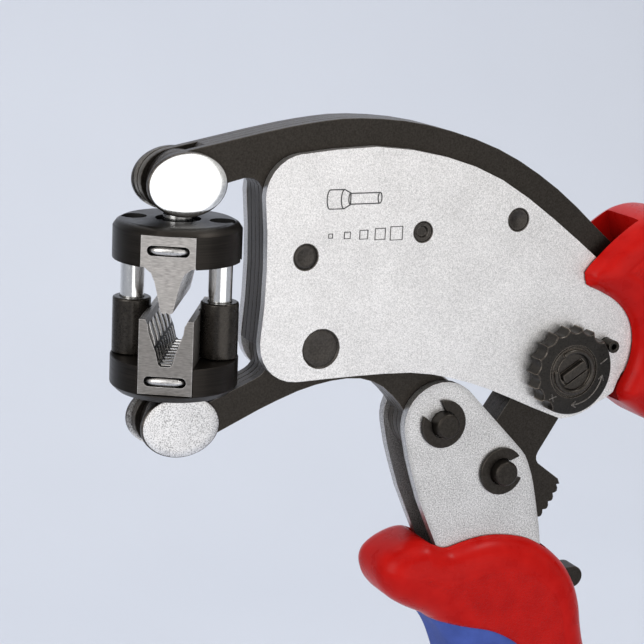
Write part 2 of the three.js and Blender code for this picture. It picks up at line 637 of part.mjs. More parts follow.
const UPPER_NECK = neckEdges(
  [[101, -8], HAND_GRIP, [134, -35], [147, -52], [153.5, -63]],
  [15.5, 13.5, 12.5, 12, 10],
);
const LOWER_NECK = neckEdges(
  [[56.4, -80], [63.5, -97], [73, -113], [85.5, -128], [94, -136.5]],
  [16.6, 15, 13.5, 12.5, 10],
);

const upperGripShape = () => outline([
  splinePoints([
    [65.6, 15], [67.7, 17], [70.9, 20], [74, 22.4], [77, 24.5], [80.6, 26.2], [84.4, 26.8], [88.6, 26.3],
    [94, 23.6], [98.5, 17.8], [102.5, 11.5],
    ...UPPER_NECK.left,
  ]),
  splinePoints([UPPER_NECK.left[4], [160.6, -68.5], [158, -74], [151.5, -75.5], UPPER_NECK.right[4]]),
  splinePoints([...[...UPPER_NECK.right].reverse(), [88, -24], [81, -19.6], [76, -17]]),
  splinePoints([[75.6, -14], [78.3, -9], [79.2, -3.4], [78, 1.6], [74.6, 5.8], [69.6, 8.7], [65.8, 10.2]]),
  bendPoints([65.8, 10.2], [62.5, 11.8], [65.6, 15]),
]);

const lowerGripShape = () => outline([
  splinePoints([
    [33, -48.3], [29, -46.2], [24.5, -46.6], [20.4, -48.3], [17.8, -50.6], [17.2, -53.6], [18.4, -57],
    [21, -59.8], [25, -62.2], [29, -64], [32.2, -66.6], [35, -70.5], [37.4, -76.4], ...LOWER_NECK.right,
  ]),
  splinePoints([LOWER_NECK.right[4], [92, -149], [98, -150.5], [103, -145.5], LOWER_NECK.left[4]]),
  splinePoints([
    ...[...LOWER_NECK.left].reverse(), [70.6, -67], [68.6, -60.8], [65.4, -55.8], [60.6, -51.4],
    [55, -48.1], [49, -46.6], [43, -46.2], [37.4, -47.1], [33, -48.3],
  ]),
]);

// Region of the softer inlay: the outer half of the neck.
const upperInlayShape = () => outline([
  [[101, 24]],
  splinePoints([[103, 3], [113, -10.5], [128, -25], [141, -41], [150, -57], [155, -69]], 2),
  [[176, -60], [150, 10]],
]);

const lowerInlayShape = () => outline([
  splinePoints(
    [[20, -63.5], [32, -65.5], [46, -69], [56, -77], [64, -92], [74, -109], [86, -124], [93, -137]], 2),
  [[92, -156], [30, -130]],
]);

// The slots that the steel cores sit in.
const UPPER_POCKET = [
  [50, 41], [62, 38], [77.6, 28], [79.6, 19.6], [92, 6.7], [106, -1.6], [121.5, -13.6], [121.5, -23],
  [112, -26], [97, -18], [85, -12.4], [79.2, -12.2], [77.5, -17.5], [60, -22],
];
const LOWER_POCKET = [
  [20, -38], [22, -43], [29.5, -47], [33, -56.4], [38, -70], [45.7, -86], [55, -101.6],
  [60, -105], [65, -103], [65.6, -98], [58.4, -82], [55.6, -70], [60.2, -59], [60.2, -49], [60, -38],
];

// Slot that the release lug's arm swings in.
const LEVER_SLOT = [[52, -50], [60, -54], [80, -53], [80, -70], [66, -68.4], [56, -64], [39, -64], [39, -56]];

const slotSolid = (points, half) => solidOf(plate(new THREE.Shape(vectors(points)), -half, half));

function addGrip(name, shape, inlay, slots) {
  const whole = subtractAll(solidOf(plate(shape, -GRIP_HALF, GRIP_HALF)), slots);
  const region = solidOf(plate(inlay, -20, 20));
  add(`${name}_grip_shell`, geometryOf(whole.subtract(region)), RED);
  add(`${name}_grip_inlay`, geometryOf(whole.intersect(region)), BLUE);
}

function addGrips() {
  addGrip('upper', upperGripShape(), upperInlayShape(), [slotSolid(UPPER_POCKET, POCKET_HALF)]);
  addGrip('lower', lowerGripShape(), lowerInlayShape(), [
    slotSolid(LOWER_POCKET, POCKET_HALF),
    slotSolid(LEVER_SLOT, 3.2),
  ]);
}

addFrame();
addJaw();
addSpring();
addLink();
addHandle();
addPawl();
addDial();
addHeadCarriers();
addHead();
addGrips();

export default tool;
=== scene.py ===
import json
import math
import bpy
import bmesh
import numpy as np
from mathutils import Vector, Matrix
from mathutils.geometry import delaunay_2d_cdt


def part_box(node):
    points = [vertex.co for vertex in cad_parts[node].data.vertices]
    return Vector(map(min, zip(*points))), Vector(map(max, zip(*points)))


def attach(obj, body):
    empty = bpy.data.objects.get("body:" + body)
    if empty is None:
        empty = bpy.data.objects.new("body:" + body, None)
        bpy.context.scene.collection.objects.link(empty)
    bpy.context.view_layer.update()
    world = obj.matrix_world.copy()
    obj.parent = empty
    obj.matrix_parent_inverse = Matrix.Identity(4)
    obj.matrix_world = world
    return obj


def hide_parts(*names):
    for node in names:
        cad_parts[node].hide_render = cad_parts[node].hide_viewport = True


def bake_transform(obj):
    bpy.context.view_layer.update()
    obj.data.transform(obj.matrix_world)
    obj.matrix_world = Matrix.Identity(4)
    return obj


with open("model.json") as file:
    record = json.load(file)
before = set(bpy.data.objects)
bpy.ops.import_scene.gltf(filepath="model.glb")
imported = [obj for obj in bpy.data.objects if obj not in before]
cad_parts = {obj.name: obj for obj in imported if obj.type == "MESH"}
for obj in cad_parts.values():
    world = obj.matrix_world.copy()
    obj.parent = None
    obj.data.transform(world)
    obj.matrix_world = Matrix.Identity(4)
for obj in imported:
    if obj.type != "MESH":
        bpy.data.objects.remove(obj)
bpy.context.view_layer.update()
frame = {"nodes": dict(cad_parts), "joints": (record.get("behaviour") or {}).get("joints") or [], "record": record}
JOINTS = {j["name"]: j for j in frame["joints"]}
BODIES = frame["record"]["behaviour"]["bodies"]
BODY_OF = {node: body for body, nodes in BODIES.items() for node in nodes}
SLOT_OF = {s["node"]: s["material_slot"] for s in frame["record"]["subparts"]}

# Own pieces are drawn in millimetres, [x, y, z] from the lower jaw's pivot,
# and then moved into the row frame, which is in metres.
MM = 0.001
PER_METRE = 1000
PIVOT = Vector(JOINTS["jaw_pivot"]["pos_m"])
HEAD_AXIS = Vector(JOINTS["head_turn"]["pos_m"])
HEAD_X = (HEAD_AXIS.x - PIVOT.x) / MM
HEAD_TURN = math.radians(-30)

# The front plate's outer face along Y, and half the grips' thickness.
PLATE_FRONT = -6.2
GRIP_HALF = 11.0


def to_row(points):
    """Points in millimetres from the jaw's pivot as row-frame points in metres."""
    return [tuple(PIVOT + Vector(p) * MM) for p in points]


def centre(node):
    """The middle of a CAD node's box, in millimetres from the jaw's pivot."""
    low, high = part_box(node)
    return ((low + high) / 2 - PIVOT) / MM


def head_point(u, v, z):
    """A point in the die head's own frame: u across the die faces, v from front to back."""
    c, s = math.cos(HEAD_TURN), math.sin(HEAD_TURN)
    return (HEAD_X + u * c - v * s, u * s + v * c, z)


def to_head(point):
    """A row-frame point in metres as [u, v, z] millimetres about the head's axis."""
    x, y = (point[0] - HEAD_AXIS.x) / MM, (point[1] - HEAD_AXIS.y) / MM
    c, s = math.cos(HEAD_TURN), math.sin(HEAD_TURN)
    return c * x + s * y, -s * x + c * y, (point[2] - PIVOT.z) / MM


# ------------------------------------------------------------------ materials
class Nodes:
    """Short names for building one material's node tree. Lengths in the textures are millimetres."""

    def __init__(self, name):
        self.material = bpy.data.materials.new(name)
        self.material.use_nodes = True
        self.tree = self.material.node_tree
        self.surface = self.tree.nodes["Principled BSDF"]
        self.where = self.new("ShaderNodeTexCoord").outputs["Object"]

    def new(self, kind, **values):
        node = self.tree.nodes.new(kind)
        for key, value in values.items():
            setattr(node, key, value)
        return node

    def link(self, source, target):
        self.tree.links.new(source, target)

    def mapped(self, stretch):
        node = self.new("ShaderNodeMapping")
        node.inputs["Scale"].default_value = [PER_METRE * s for s in stretch]
        self.link(self.where, node.inputs["Vector"])
        return node.outputs[0]

    def noise(self, scale, detail, stretch=(1, 1, 1)):
        node = self.new("ShaderNodeTexNoise")
        node.inputs["Scale"].default_value = scale
        node.inputs["Detail"].default_value = detail
        self.link(self.mapped(stretch), node.inputs["Vector"])
        return node.outputs["Fac"]

    def spread(self, value, low, high, start=0.3, end=0.7):
        node = self.new("ShaderNodeMapRange")
        for key, number in (("From Min", start), ("From Max", end), ("To Min", low), ("To Max", high)):
            node.inputs[key].default_value = number
        self.link(value, node.inputs["Value"])
        return node.outputs[0]

    def shade(self, fac, dark, light):
        node = self.new("ShaderNodeMix", data_type="RGBA")
        node.inputs[6].default_value = (*dark, 1)
        node.inputs[7].default_value = (*light, 1)
        self.link(fac, node.inputs[0])
        return node.outputs[2]

    def math(self, operation, a, b):
        node = self.new("ShaderNodeMath", operation=operation)
        for i, value in enumerate((a, b)):
            if isinstance(value, (int, float)):
                node.inputs[i].default_value = value
            else:
                self.link(value, node.inputs[i])
        return node.outputs[0]

    def bump(self, height, depth_mm, below=None):
        node = self.new("ShaderNodeBump")
        node.inputs["Distance"].default_value = depth_mm * MM
        self.link(height, node.inputs["Height"])
        if below is not None:
            self.link(below, node.inputs["Normal"])
        return node.outputs[0]

    def attribute(self, name):
        return self.new("ShaderNodeAttribute", attribute_name=name).outputs["Fac"]

    def near_edges(self, radius):
        """1 on edges, falling to 0 about a radius away from them, in millimetres."""
        bevel = self.new("ShaderNodeBevel", samples=6)
        bevel.inputs["Radius"].default_value = radius * MM
        dot = self.new("ShaderNodeVectorMath", operation="DOT_PRODUCT")
        self.link(bevel.outputs[0], dot.inputs[0])
        self.link(self.new("ShaderNodeNewGeometry").outputs["Normal"], dot.inputs[1])
        return self.spread(dot.outputs["Value"], 1, 0, EDGE_COSINE, FACE_COSINE)

    def mixed(self, fac, below, colour):
        node = self.new("ShaderNodeMix", data_type="RGBA")
        self.link(fac, node.inputs[0])
        self.link(below, node.inputs[6])
        node.inputs[7].default_value = (*colour, 1)
        return node.outputs[2]

    def put(self, key, value):
        socket = self.surface.inputs[key]
        if isinstance(value, (int, float, tuple)):
            socket.default_value = value
        else:
            self.link(value, socket)


# Cosine between the rounded and the true normal where a tone painted along an edge is full, and where it ends.
EDGE_COSINE = 0.86
FACE_COSINE = 0.995
# The slow mottling of metal: its noise scale, and the shares of the fine grain and of the mottling.
MOTTLE_SCALE = 0.12
GRAIN_SHARE = 0.88
MOTTLE_SHARE = 0.12


def metal(name, dark, light, rough, grain=3.0, depth=0.012, metallic=1.0, stretch=(1, 1, 1),
          edge=(0.25, 0.75), painted_edge_tone=None):
    """Metal with a fine grain in colour, roughness and height, and a faint slow mottling.

    edge is where the grain's noise turns from the dark tone to the light one, and the last argument gives the
    width, the colour and the strength of a tone painted along the piece's edges: where it is lighter it is a
    painted highlight that partly stands for wear, and on the satin plate it is a darker band towards the edges.
    """
    n = Nodes(name)
    fine = n.noise(grain, 4, stretch)
    slow = n.noise(MOTTLE_SCALE, 2)
    blend = n.math("ADD", n.math("MULTIPLY", fine, GRAIN_SHARE), n.math("MULTIPLY", slow, MOTTLE_SHARE))
    colour = n.shade(n.spread(blend, 0, 1, *edge), dark, light)
    # A tone painted along the edges: lighter ones are painted highlights partly standing for wear, the satin
    # plate's is a darker band.
    if painted_edge_tone:
        width, tone, strength = painted_edge_tone
        mask = n.math("MULTIPLY", n.near_edges(width), n.math("MULTIPLY", n.spread(fine, 0.4, 1), strength))
        colour = n.mixed(mask, colour, tone)
    n.put("Base Color", colour)
    n.put("Metallic", metallic)
    n.put("Roughness", n.spread(fine, *rough))
    n.put("Normal", n.bump(fine, depth))
    return n.material


def moulded(name, dark, light, rough, grain, depth):
    """Moulded plastic: smooth round the rims, with a leathery grain where the panel attribute is 1."""
    n = Nodes(name)
    panel = n.attribute("panel")
    grainy = n.noise(grain, 3)
    soft = n.noise(0.25, 2)
    n.put("Base Color", n.shade(n.spread(soft, 0, 1), dark, light))
    n.put("Roughness", n.math("ADD", n.spread(soft, *rough), n.math("MULTIPLY", panel, 0.06)))
    n.put("Specular IOR Level", 0.09)
    ripple = n.bump(n.noise(0.5, 2), 0.03)
    n.put("Normal", n.bump(n.math("MULTIPLY", grainy, panel), depth, ripple))
    return n.material


# In the calls below, a lighter tone along the edges is a painted highlight that partly stands for wear.
MATERIALS = {
    "silver_plate": metal("silver_plate", (0.44, 0.43, 0.42), (0.88, 0.86, 0.845), (0.34, 0.48), 4.6, 0.03,
                          edge=(0.3, 0.68)),
    "black_steel": metal("black_steel", (0.016, 0.0135, 0.011), (0.046, 0.040, 0.034), (0.36, 0.5), 2.6,
                         0.012, 0.9, painted_edge_tone=(0.3, (0.26, 0.235, 0.21), 0.7)),
    "bright_steel": metal("bright_steel", (0.74, 0.74, 0.73), (0.9, 0.9, 0.89), (0.12, 0.2), 2.0, 0.003),
    "ground_steel": metal("ground_steel", (0.2, 0.195, 0.19), (0.78, 0.765, 0.755), (0.32, 0.5), 4.0, 0.04,
                          edge=(0.34, 0.56)),
    "spring_wire": metal("spring_wire", (0.3, 0.3, 0.29), (0.55, 0.55, 0.54), (0.25, 0.35), 2.0, 0.004),
    "red_plastic": moulded("red_plastic", (0.36, 0.0035, 0.0025), (0.425, 0.006, 0.004), (0.25, 0.34),
                           2.2, 0.3),
    "blue_soft": moulded("blue_soft", (0.042, 0.070, 0.26), (0.055, 0.090, 0.33), (0.5, 0.6), 1.7, 0.12),
}
# A lighter black steel. On the laminations' side faces and the eye sleeves it is partly the sheared steel's own
# tone and partly painted light; on the dial's signs it is a painted highlight, and round the bright caps' rims it
# is painted shade.
GREY_BLACK = metal("grey_black_steel", (0.028, 0.024, 0.021), (0.11, 0.098, 0.088), (0.3, 0.46), 1.8, 0.02, 0.9,
                painted_edge_tone=(0.18, (0.5, 0.47, 0.44), 0.6))
TURNED_BLACK = metal("turned_black", (0.009, 0.0075, 0.006), (0.028, 0.0235, 0.0195), (0.3, 0.44), 1.2,
                     0.008, 0.85, stretch=(0.08, 0.08, 3.5))
DIAL_BLACK = metal("dial_black", (0.010, 0.0085, 0.007), (0.03, 0.026, 0.022), (0.26, 0.4), 2.4, 0.012, 0.7,
                   painted_edge_tone=(0.35, (0.34, 0.29, 0.24), 0.8))
SATIN_PLATE = metal("satin_plate", (0.3, 0.29, 0.28), (0.76, 0.745, 0.73), (0.34, 0.5), 3.4, 0.03,
                    edge=(0.34, 0.62), painted_edge_tone=(2.6, (0.16, 0.155, 0.15), 0.45))
SLEEVE_BLACK = metal("sleeve_black", (0.030, 0.027, 0.024), (0.052, 0.046, 0.040), (0.24, 0.34), 1.6,
                     0.01, 0.9, painted_edge_tone=(0.4, (0.25, 0.22, 0.19), 0.6))
# Near-black painted into the clips' pockets and the head's recess walls: painted shade.
SLOT_SHADE = metal("slot_painted_shade", (0.003, 0.0028, 0.0026), (0.008, 0.007, 0.0065), (0.7, 0.85), 2.0, 0.01, 0.2)
# Darker steel painted on the valley's walls and floor: painted shade.
VALLEY_SHADE = metal("valley_painted_shade", (0.012, 0.011, 0.01), (0.05, 0.046, 0.042), (0.4, 0.55), 1.6, 0.012, 0.9)
HUB_BLACK = metal("hub_black", (0.022, 0.019, 0.016), (0.062, 0.054, 0.046), (0.26, 0.4), 2.4, 0.012, 0.8,
                  painted_edge_tone=(0.3, (0.5, 0.42, 0.35), 0.8))
RIVET_BLACK = metal("rivet_black", (0.026, 0.023, 0.020), (0.075, 0.067, 0.06), (0.36, 0.5), 2.6, 0.012, 0.9,
                    painted_edge_tone=(0.25, (0.3, 0.27, 0.24), 0.6))
# Far lighter than the die steel the ribs are cut in: a painted highlight on the valley's and the punch's ribs.
RIB_HIGHLIGHT_STEEL = metal("rib_steel_painted_highlight", (0.5, 0.48, 0.46), (0.85, 0.83, 0.8), (0.25, 0.4), 2.4, 0.01)
CLIP_STEEL = metal("clip_steel", (0.38, 0.37, 0.36), (0.6, 0.585, 0.57), (0.25, 0.36), 2.0, 0.006)
VEE_STEEL = metal("vee_steel", (0.18, 0.168, 0.155), (0.33, 0.31, 0.29), (0.36, 0.5), 2.2, 0.01,
                  stretch=(0.4, 0.4, 2.2), painted_edge_tone=(0.35, (0.8, 0.78, 0.75), 0.7))
PUNCH_STEEL = metal("punch_steel", (0.33, 0.31, 0.29), (0.56, 0.53, 0.5), (0.34, 0.5), 2.2, 0.01,
                    stretch=(0.4, 0.4, 2.2), painted_edge_tone=(0.35, (0.85, 0.83, 0.8), 0.5))
MARK = metal("mark_lines", (0.05, 0.05, 0.05), (0.09, 0.09, 0.09), (0.5, 0.6), 2.0, 0.004, 0.6)


# ------------------------------------------------------------------ mesh helpers
# Bevelled pieces are shaded smooth up to this angle, in degrees.
BEVEL_SMOOTH = 42


def make(name, points, faces, smooth=40):
    """A mesh piece from points in millimetres and faces, shaded smooth up to an angle in degrees."""
    mesh = bpy.data.meshes.new(name)
    mesh.from_pydata(to_row(points), [], faces)
    obj = bpy.data.objects.new(name, mesh)
    bpy.context.scene.collection.objects.link(obj)
    finish_mesh(obj, smooth)
    return obj


def finish_mesh(obj, smooth):
    """Merges equal points, turns faces outwards and shades smooth up to an angle in degrees."""
    bm = bmesh.new()
    bm.from_mesh(obj.data)
    bmesh.ops.remove_doubles(bm, verts=bm.verts, dist=0.002 * MM)
    bmesh.ops.recalc_face_normals(bm, faces=bm.faces)
    bm.to_mesh(obj.data)
    bm.free()
    for polygon in obj.data.polygons:
        polygon.use_smooth = True
    obj.data.set_sharp_from_angle(angle=math.radians(smooth))


def weighted(obj):
    """Keeps large flat faces flat in shading where small rounded edges meet them."""
    modifier = obj.modifiers.new("weighted", "WEIGHTED_NORMAL")
    modifier.keep_sharp = True
    return obj


def dress(obj, nodes, material=None):
    """Gives a finished piece its material, by default the one for its CAD node's slot, and puts it on the body of
    the CAD node it belongs to.
    """
    nodes = [nodes] if isinstance(nodes, str) else list(nodes)
    slot = SLOT_OF[nodes[0]]
    obj.data.materials.clear()
    obj.data.materials.append(material or MATERIALS[slot])
    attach(obj, BODY_OF[nodes[0]])
    return obj


def bevel_sharp(bm, width, segments, angle):
    """Rounds every edge that bends by more than angle, in degrees."""
    sharp = [e for e in bm.edges if len(e.link_faces) == 2 and e.calc_face_angle() > math.radians(angle)]
    bmesh.ops.bevel(bm, geom=sharp, offset=width * MM, segments=segments, profile=0.5, affect="EDGES",
                    clamp_overlap=True)


def refined(node, bevel, segments=2, material=None, plugs=()):
    """The CAD solid with its flat faces merged and its edges rounded by bevel, in millimetres.

    plugs are (x, z, radius) holes to fill.
    """
    source = bpy.data.objects.new("source", frame["nodes"][node].data.copy())
    bpy.context.scene.collection.objects.link(source)
    low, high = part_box(node)
    for x, z, r in plugs:
        boolean(source, make("plug", *prism(circle((x, z), r, 24), low.y / MM, high.y / MM)), "UNION")
    mesh = source.data
    bpy.data.objects.remove(source)
    bm = bmesh.new()
    bm.from_mesh(mesh)
    bmesh.ops.remove_doubles(bm, verts=bm.verts, dist=0.003 * MM)
    bmesh.ops.dissolve_limit(bm, angle_limit=math.radians(0.6), verts=bm.verts, edges=bm.edges)
    bevel_sharp(bm, bevel, segments, 34)
    bm.to_mesh(mesh)
    bm.free()
    obj = bpy.data.objects.new(node + "_surface", mesh)
    bpy.context.scene.collection.objects.link(obj)
    finish_mesh(obj, BEVEL_SMOOTH)
    weighted(obj)
    dress(obj, node, material)
    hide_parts(node)
    return obj


def lattice(rows, sides, closed=False):
    """Faces between neighbouring rounds of points; a closed one joins the last round to the first."""
    faces = []
    for i in range(rows if closed else rows - 1):
        here, ahead = i * sides, (i + 1) % rows * sides
        for k in range(sides):
            after = (k + 1) % sides
            faces.append((here + k, here + after, ahead + after, ahead + k))
    return faces


def end_faces(rows, sides):
    """The two faces that close the first and the last round."""
    return [tuple(range(sides)), tuple((rows - 1) * sides + k for k in range(sides))]


def sweep_data(path, radius, sides=12, closed=False):
    """Points and faces of a round bar along path; radius is one number or one for each point."""
    path = [Vector(p) for p in path]
    count = len(path)
    radii = radius if hasattr(radius, "__len__") else [radius] * count
    points = []
    normal = None
    for i, p in enumerate(path):
        ahead = path[(i + 1) % count] if closed or i < count - 1 else p
        behind = path[i - 1] if closed or i > 0 else p
        tangent = (ahead - behind).normalized()
        if normal is None:
            normal = tangent.cross(Vector((0.3, 1, 0.2))).normalized()
        normal = (normal - tangent * normal.dot(tangent)).normalized()
        side = tangent.cross(normal)
        for k in range(sides):
            a = 2 * math.pi * k / sides
            points.append(p + (normal * math.cos(a) + side * math.sin(a)) * radii[i])
    faces = lattice(count, sides, closed)
    return points, faces if closed else faces + end_faces(count, sides)


def merge(parts):
    """Several sets of points and faces as one."""
    points, faces = [], []
    for p, f in parts:
        base = len(points)
        points += list(p)
        faces += [tuple(base + i for i in face) for face in f]
    return points, faces


def prism(outline, low, high):
    """Points and faces of an outline of [x, z] pairs filling y from low to high."""
    n = len(outline)
    points = [(x, low, z) for x, z in outline] + [(x, high, z) for x, z in outline]
    faces = [tuple(range(n)), tuple(range(2 * n - 1, n - 1, -1))]
    faces += [(k, (k + 1) % n, n + (k + 1) % n, n + k) for k in range(n)]
    return points, faces


def on_circle(at, radius, degrees):
    """The [x, z] point at an angle from +X towards +Z."""
    a = math.radians(degrees)
    return at[0] + radius * math.cos(a), at[1] + radius * math.sin(a)


def circle(at, radius, count):
    return [on_circle(at, radius, 360.0 * k / count) for k in range(count)]


def rounds(at, profile, sides):
    """Circles of points about an axis along Y through [x, z], one for each [radius, y] of profile."""
    return [(x, y, z) for r, y in profile for x, z in circle(at, max(r, 0.001), sides)]


def lathe_y(at, profile, sides=48):
    """A turned solid about an axis along Y through [x, z]; profile is [radius, y] from axis to axis."""
    return rounds(at, profile, sides), lattice(len(profile), sides) + end_faces(len(profile), sides)


def ring_y(at, profile, sides=64):
    """A closed ring turned about an axis along Y from [radius, y] points."""
    return rounds(at, profile, sides), lattice(len(profile), sides, True)


def round_edges(obj, width, segments=2, angle=35):
    """Rounds a piece's edges by width, in millimetres, where they bend by more than angle, in degrees."""
    bm = bmesh.new()
    bm.from_mesh(obj.data)
    bevel_sharp(bm, width, segments, angle)
    bm.to_mesh(obj.data)
    bm.free()
    finish_mesh(obj, BEVEL_SMOOTH)
    return weighted(obj)


def boolean(obj, cutter, operation):
    """obj joined with, cut by or kept inside cutter; the cutter is removed."""
    modifier = obj.modifiers.new("cut", "BOOLEAN")
    modifier.operation = operation
    modifier.solver = "EXACT"
    modifier.object = cutter
    bpy.context.view_layer.update()
    cut = bpy.data.meshes.new_from_object(obj.evaluated_get(bpy.context.evaluated_depsgraph_get()))
    obj.modifiers.remove(modifier)
    obj.data = cut
    bpy.data.objects.remove(cutter)
    return obj


# ------------------------------------------------------------------ frame, jaw, link and handle steel
# Widths of the rounded edges.
PLATE_BEVEL = 0.55
SHEET_BEVEL = 0.16
PIN_BEVEL = 0.2
BOLT_BEVEL = 0.25
PINS = ("tail_pivot_pin", "toggle_pin", "pawl_pin", "dial_stop_pin", "dial_retaining_ring", "ratchet_pawl",
        "release_lug", "tail_pivot_clip", "toggle_clip", "dial_shaft")
# The spring's lower pin ends behind the front jaw sheet, so that sheet has no hole for it.
TAIL_PIN = centre("spring_tail_pin")
PLUGS = {"lower_jaw_lamination_1": [(TAIL_PIN.x, TAIL_PIN.z, 1.5)]}

for node in BODY_OF:
    if node.startswith("side_plate"):
        refined(node, PLATE_BEVEL, 3)
    elif node.startswith("handle_plate"):
        refined(node, PLATE_BEVEL, 3, material=SATIN_PLATE)
    elif "lamination" in node:
        sheet = refined(node, SHEET_BEVEL, plugs=PLUGS.get(node, ()))
        sheet.data.materials.append(GREY_BLACK)
        # Side faces get the lighter black steel: partly the sheared edges' own tone, partly painted light.
        for polygon in sheet.data.polygons:
            polygon.material_index = int(abs(polygon.normal.y) < 0.6)
    elif node in PINS:
        refined(node, PIN_BEVEL)
    elif node.endswith("cross_bolt") or node.endswith("head_stem"):
        refined(node, BOLT_BEVEL)

# The sleeve in each jaw's eye has a groove round its middle.
EYE_SLEEVE = ((5.7, -1.85), (6.4, -1.85), (6.5, -1.7), (6.5, -0.15), (6.2, 0), (6.5, 0.15), (6.5, 1.7),
              (6.4, 1.85), (5.7, 1.85))
for side in ("upper", "lower"):
    bolt = centre(side + "_cross_bolt")
    sleeve = make(side + "_eye_sleeve", *ring_y((bolt.x, bolt.z), EYE_SLEEVE), smooth=35)
    dress(sleeve, side + "_head_stem", GREY_BLACK)

tail_pin = make("spring_tail_pin_surface", *lathe_y((TAIL_PIN.x, TAIL_PIN.z), [
    (0, -2.0), (1.2, -2.0), (1.3, -1.9), (1.3, 3.8), (1.2, 3.9), (0, 3.9)], 24))
dress(tail_pin, "spring_tail_pin")
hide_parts("spring_tail_pin")


def rivet(node, dish):
    """A riveted pin end: a shallow dished head with a thin rim, level with the plate."""
    at = centre(node)
    low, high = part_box(node)
    r = (high.x - low.x) / MM / 2
    front, back = low.y / MM, high.y / MM
    head = [(0, front + dish), (r * 0.45, front + dish), (r * 0.6, front + 0.02), (r * 0.88, front - 0.04)]
    rim = [(r * 0.94, front + 0.12), (r * 0.98, front - 0.16), (r + 0.16, front - 0.22),
           (r + 0.2, front - 0.1), (r, front)]
    tail = [(r, back - 0.2), (r - 0.2, back), (0, back)]
    obj = make(node + "_surface", *lathe_y((at.x, at.z), head + rim + tail), smooth=50)
    weighted(dress(obj, node, RIVET_BLACK))
    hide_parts(node)


rivet("frame_rivet_front", 0.12)
rivet("frame_rivet_rear", 0.3)
rivet("spring_anchor_pin", 0.6)
rivet("jaw_pivot_pin", 0.08)


def ridged_cap(node):
    """An oval cap with a low roof on either side of an upright ridge, rounded towards its rim."""
    at = centre(node)
    low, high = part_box(node)
    half_x, half_z = (high.x - low.x) / MM / 2, (high.z - low.z) / MM / 2
    front = node.endswith("front")
    inner = (high.y if front else low.y) / MM
    side = -1 if front else 1
    # Shares of the oval's size from the rim to the middle, each with its height at the rim.
    rings = ((1.0, 0.0), (1.0, 0.78), (0.99, 0.92), (0.97, 1.02), (0.94, 1.1), (0.75, 1.1), (0.55, 1.1),
             (0.35, 1.1), (0.18, 1.1), (0.0, 1.1))
    ridge_lift = 0.27
    # From this share of the oval outwards the cap's steep rim is drawn in a dark steel: painted shade round the
    # bright cap.
    shaded_rim_from = 0.972
    sides = 72
    points = []
    for share, height in rings:
        for k in range(sides):
            a = 2 * math.pi * k / sides
            x = share * half_x * math.cos(a)
            h = height * (1 + ridge_lift * (1 - abs(x) / half_x))
            points.append((at.x + x, inner + side * h, at.z + share * half_z * math.sin(a)))
    faces = lattice(len(rings), sides) + [tuple(range(sides))]
    obj = make(node + "_surface", points, faces, smooth=30)
    dress(obj, node)
    obj.data.materials.append(GREY_BLACK)
    for polygon in obj.data.polygons:
        x = polygon.center[0] / MM - PIVOT.x / MM - at.x
        z = polygon.center[2] / MM - PIVOT.z / MM - at.z
        polygon.material_index = int((x / half_x) ** 2 + (z / half_z) ** 2 > shaded_rim_from ** 2)
    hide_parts(node)


for side in ("upper", "lower"):
    for face in ("front", "rear"):
        ridged_cap(f"{side}_bolt_cap_{face}")


# ------------------------------------------------------------------ return spring
# The coil falls by its length from its top, in heights about the jaw's pivot.
TOP_HOOK_R = 2.85
TAIL_HOOK_R = 1.85
COIL_R = 1.35
COIL_TURNS = 6
COIL_TOP = 17.5
COIL_LENGTH = 19.5
WIRE_R = 0.4


def spring_path():
    """The wire's middle line: a hook round each pin, and the coil between them."""
    top, tail = centre("spring_anchor_pin"), centre("spring_tail_pin")
    points = []
    for a in range(200, -61, -20):
        x, z = on_circle((top.x, top.z), TOP_HOOK_R, a)
        points.append((x, 0, z))
    for k in range(97):
        t = k / 96
        a = t * COIL_TURNS * 2 * math.pi
        points.append((top.x + t * (tail.x - top.x) + COIL_R * math.cos(a), COIL_R * math.sin(a),
                       COIL_TOP - COIL_LENGTH * t))
    for a in range(60, -201, -20):
        x, z = on_circle((tail.x, tail.z), TAIL_HOOK_R, a)
        points.append((x, 0, z))
    return points


spring = make("return_spring_wire", *sweep_data(spring_path(), WIRE_R, 10))
spring.data.materials.append(MATERIALS["spring_wire"])
top, tail = centre("spring_anchor_pin"), centre("spring_tail_pin")
to_row([tuple(top)])[0]
to_row([tuple(tail)])[0]
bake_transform(spring)
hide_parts("return_spring")


LEAF_HALF = 0.33
LEAF_HALF_WIDTH = 1.6


def leaf_outline():
    """The pawl's leaf spring from its held end to its free end."""
    places, heights = (41.1, 54.0, 61.4), (-60.75, -59.85, -62.7)
    row = [(x, float(np.interp(x, places, heights))) for x in np.linspace(places[0], places[-1], 15)]
    return [(x, z - LEAF_HALF) for x, z in row] + [(x, z + LEAF_HALF) for x, z in reversed(row)]


leaf = make("pawl_leaf", *prism(leaf_outline(), -LEAF_HALF_WIDTH, LEAF_HALF_WIDTH))
leaf.data.materials.append(MATERIALS[SLOT_OF["pawl_spring"]])
to_row([(46, 0, -60)])[0]
to_row([(61, 0, -62)])[0]
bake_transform(leaf)
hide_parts("pawl_spring")


# ------------------------------------------------------------------ setting dial
DIAL = centre("dial_shaft")
DIAL_AT = (DIAL.x, DIAL.z)
DIAL_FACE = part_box("dial_wheel")[0].y / MM


WHEEL_R = 10.1
WHEEL_BACK = -6.5
# The scalloped part of the rim, the scallops' pitch, all in degrees, and their depth.
SCALLOPS_FROM, SCALLOPS_TO, SCALLOP_PITCH = 40, 240, 20
SCALLOP_DEPTH = 1.25


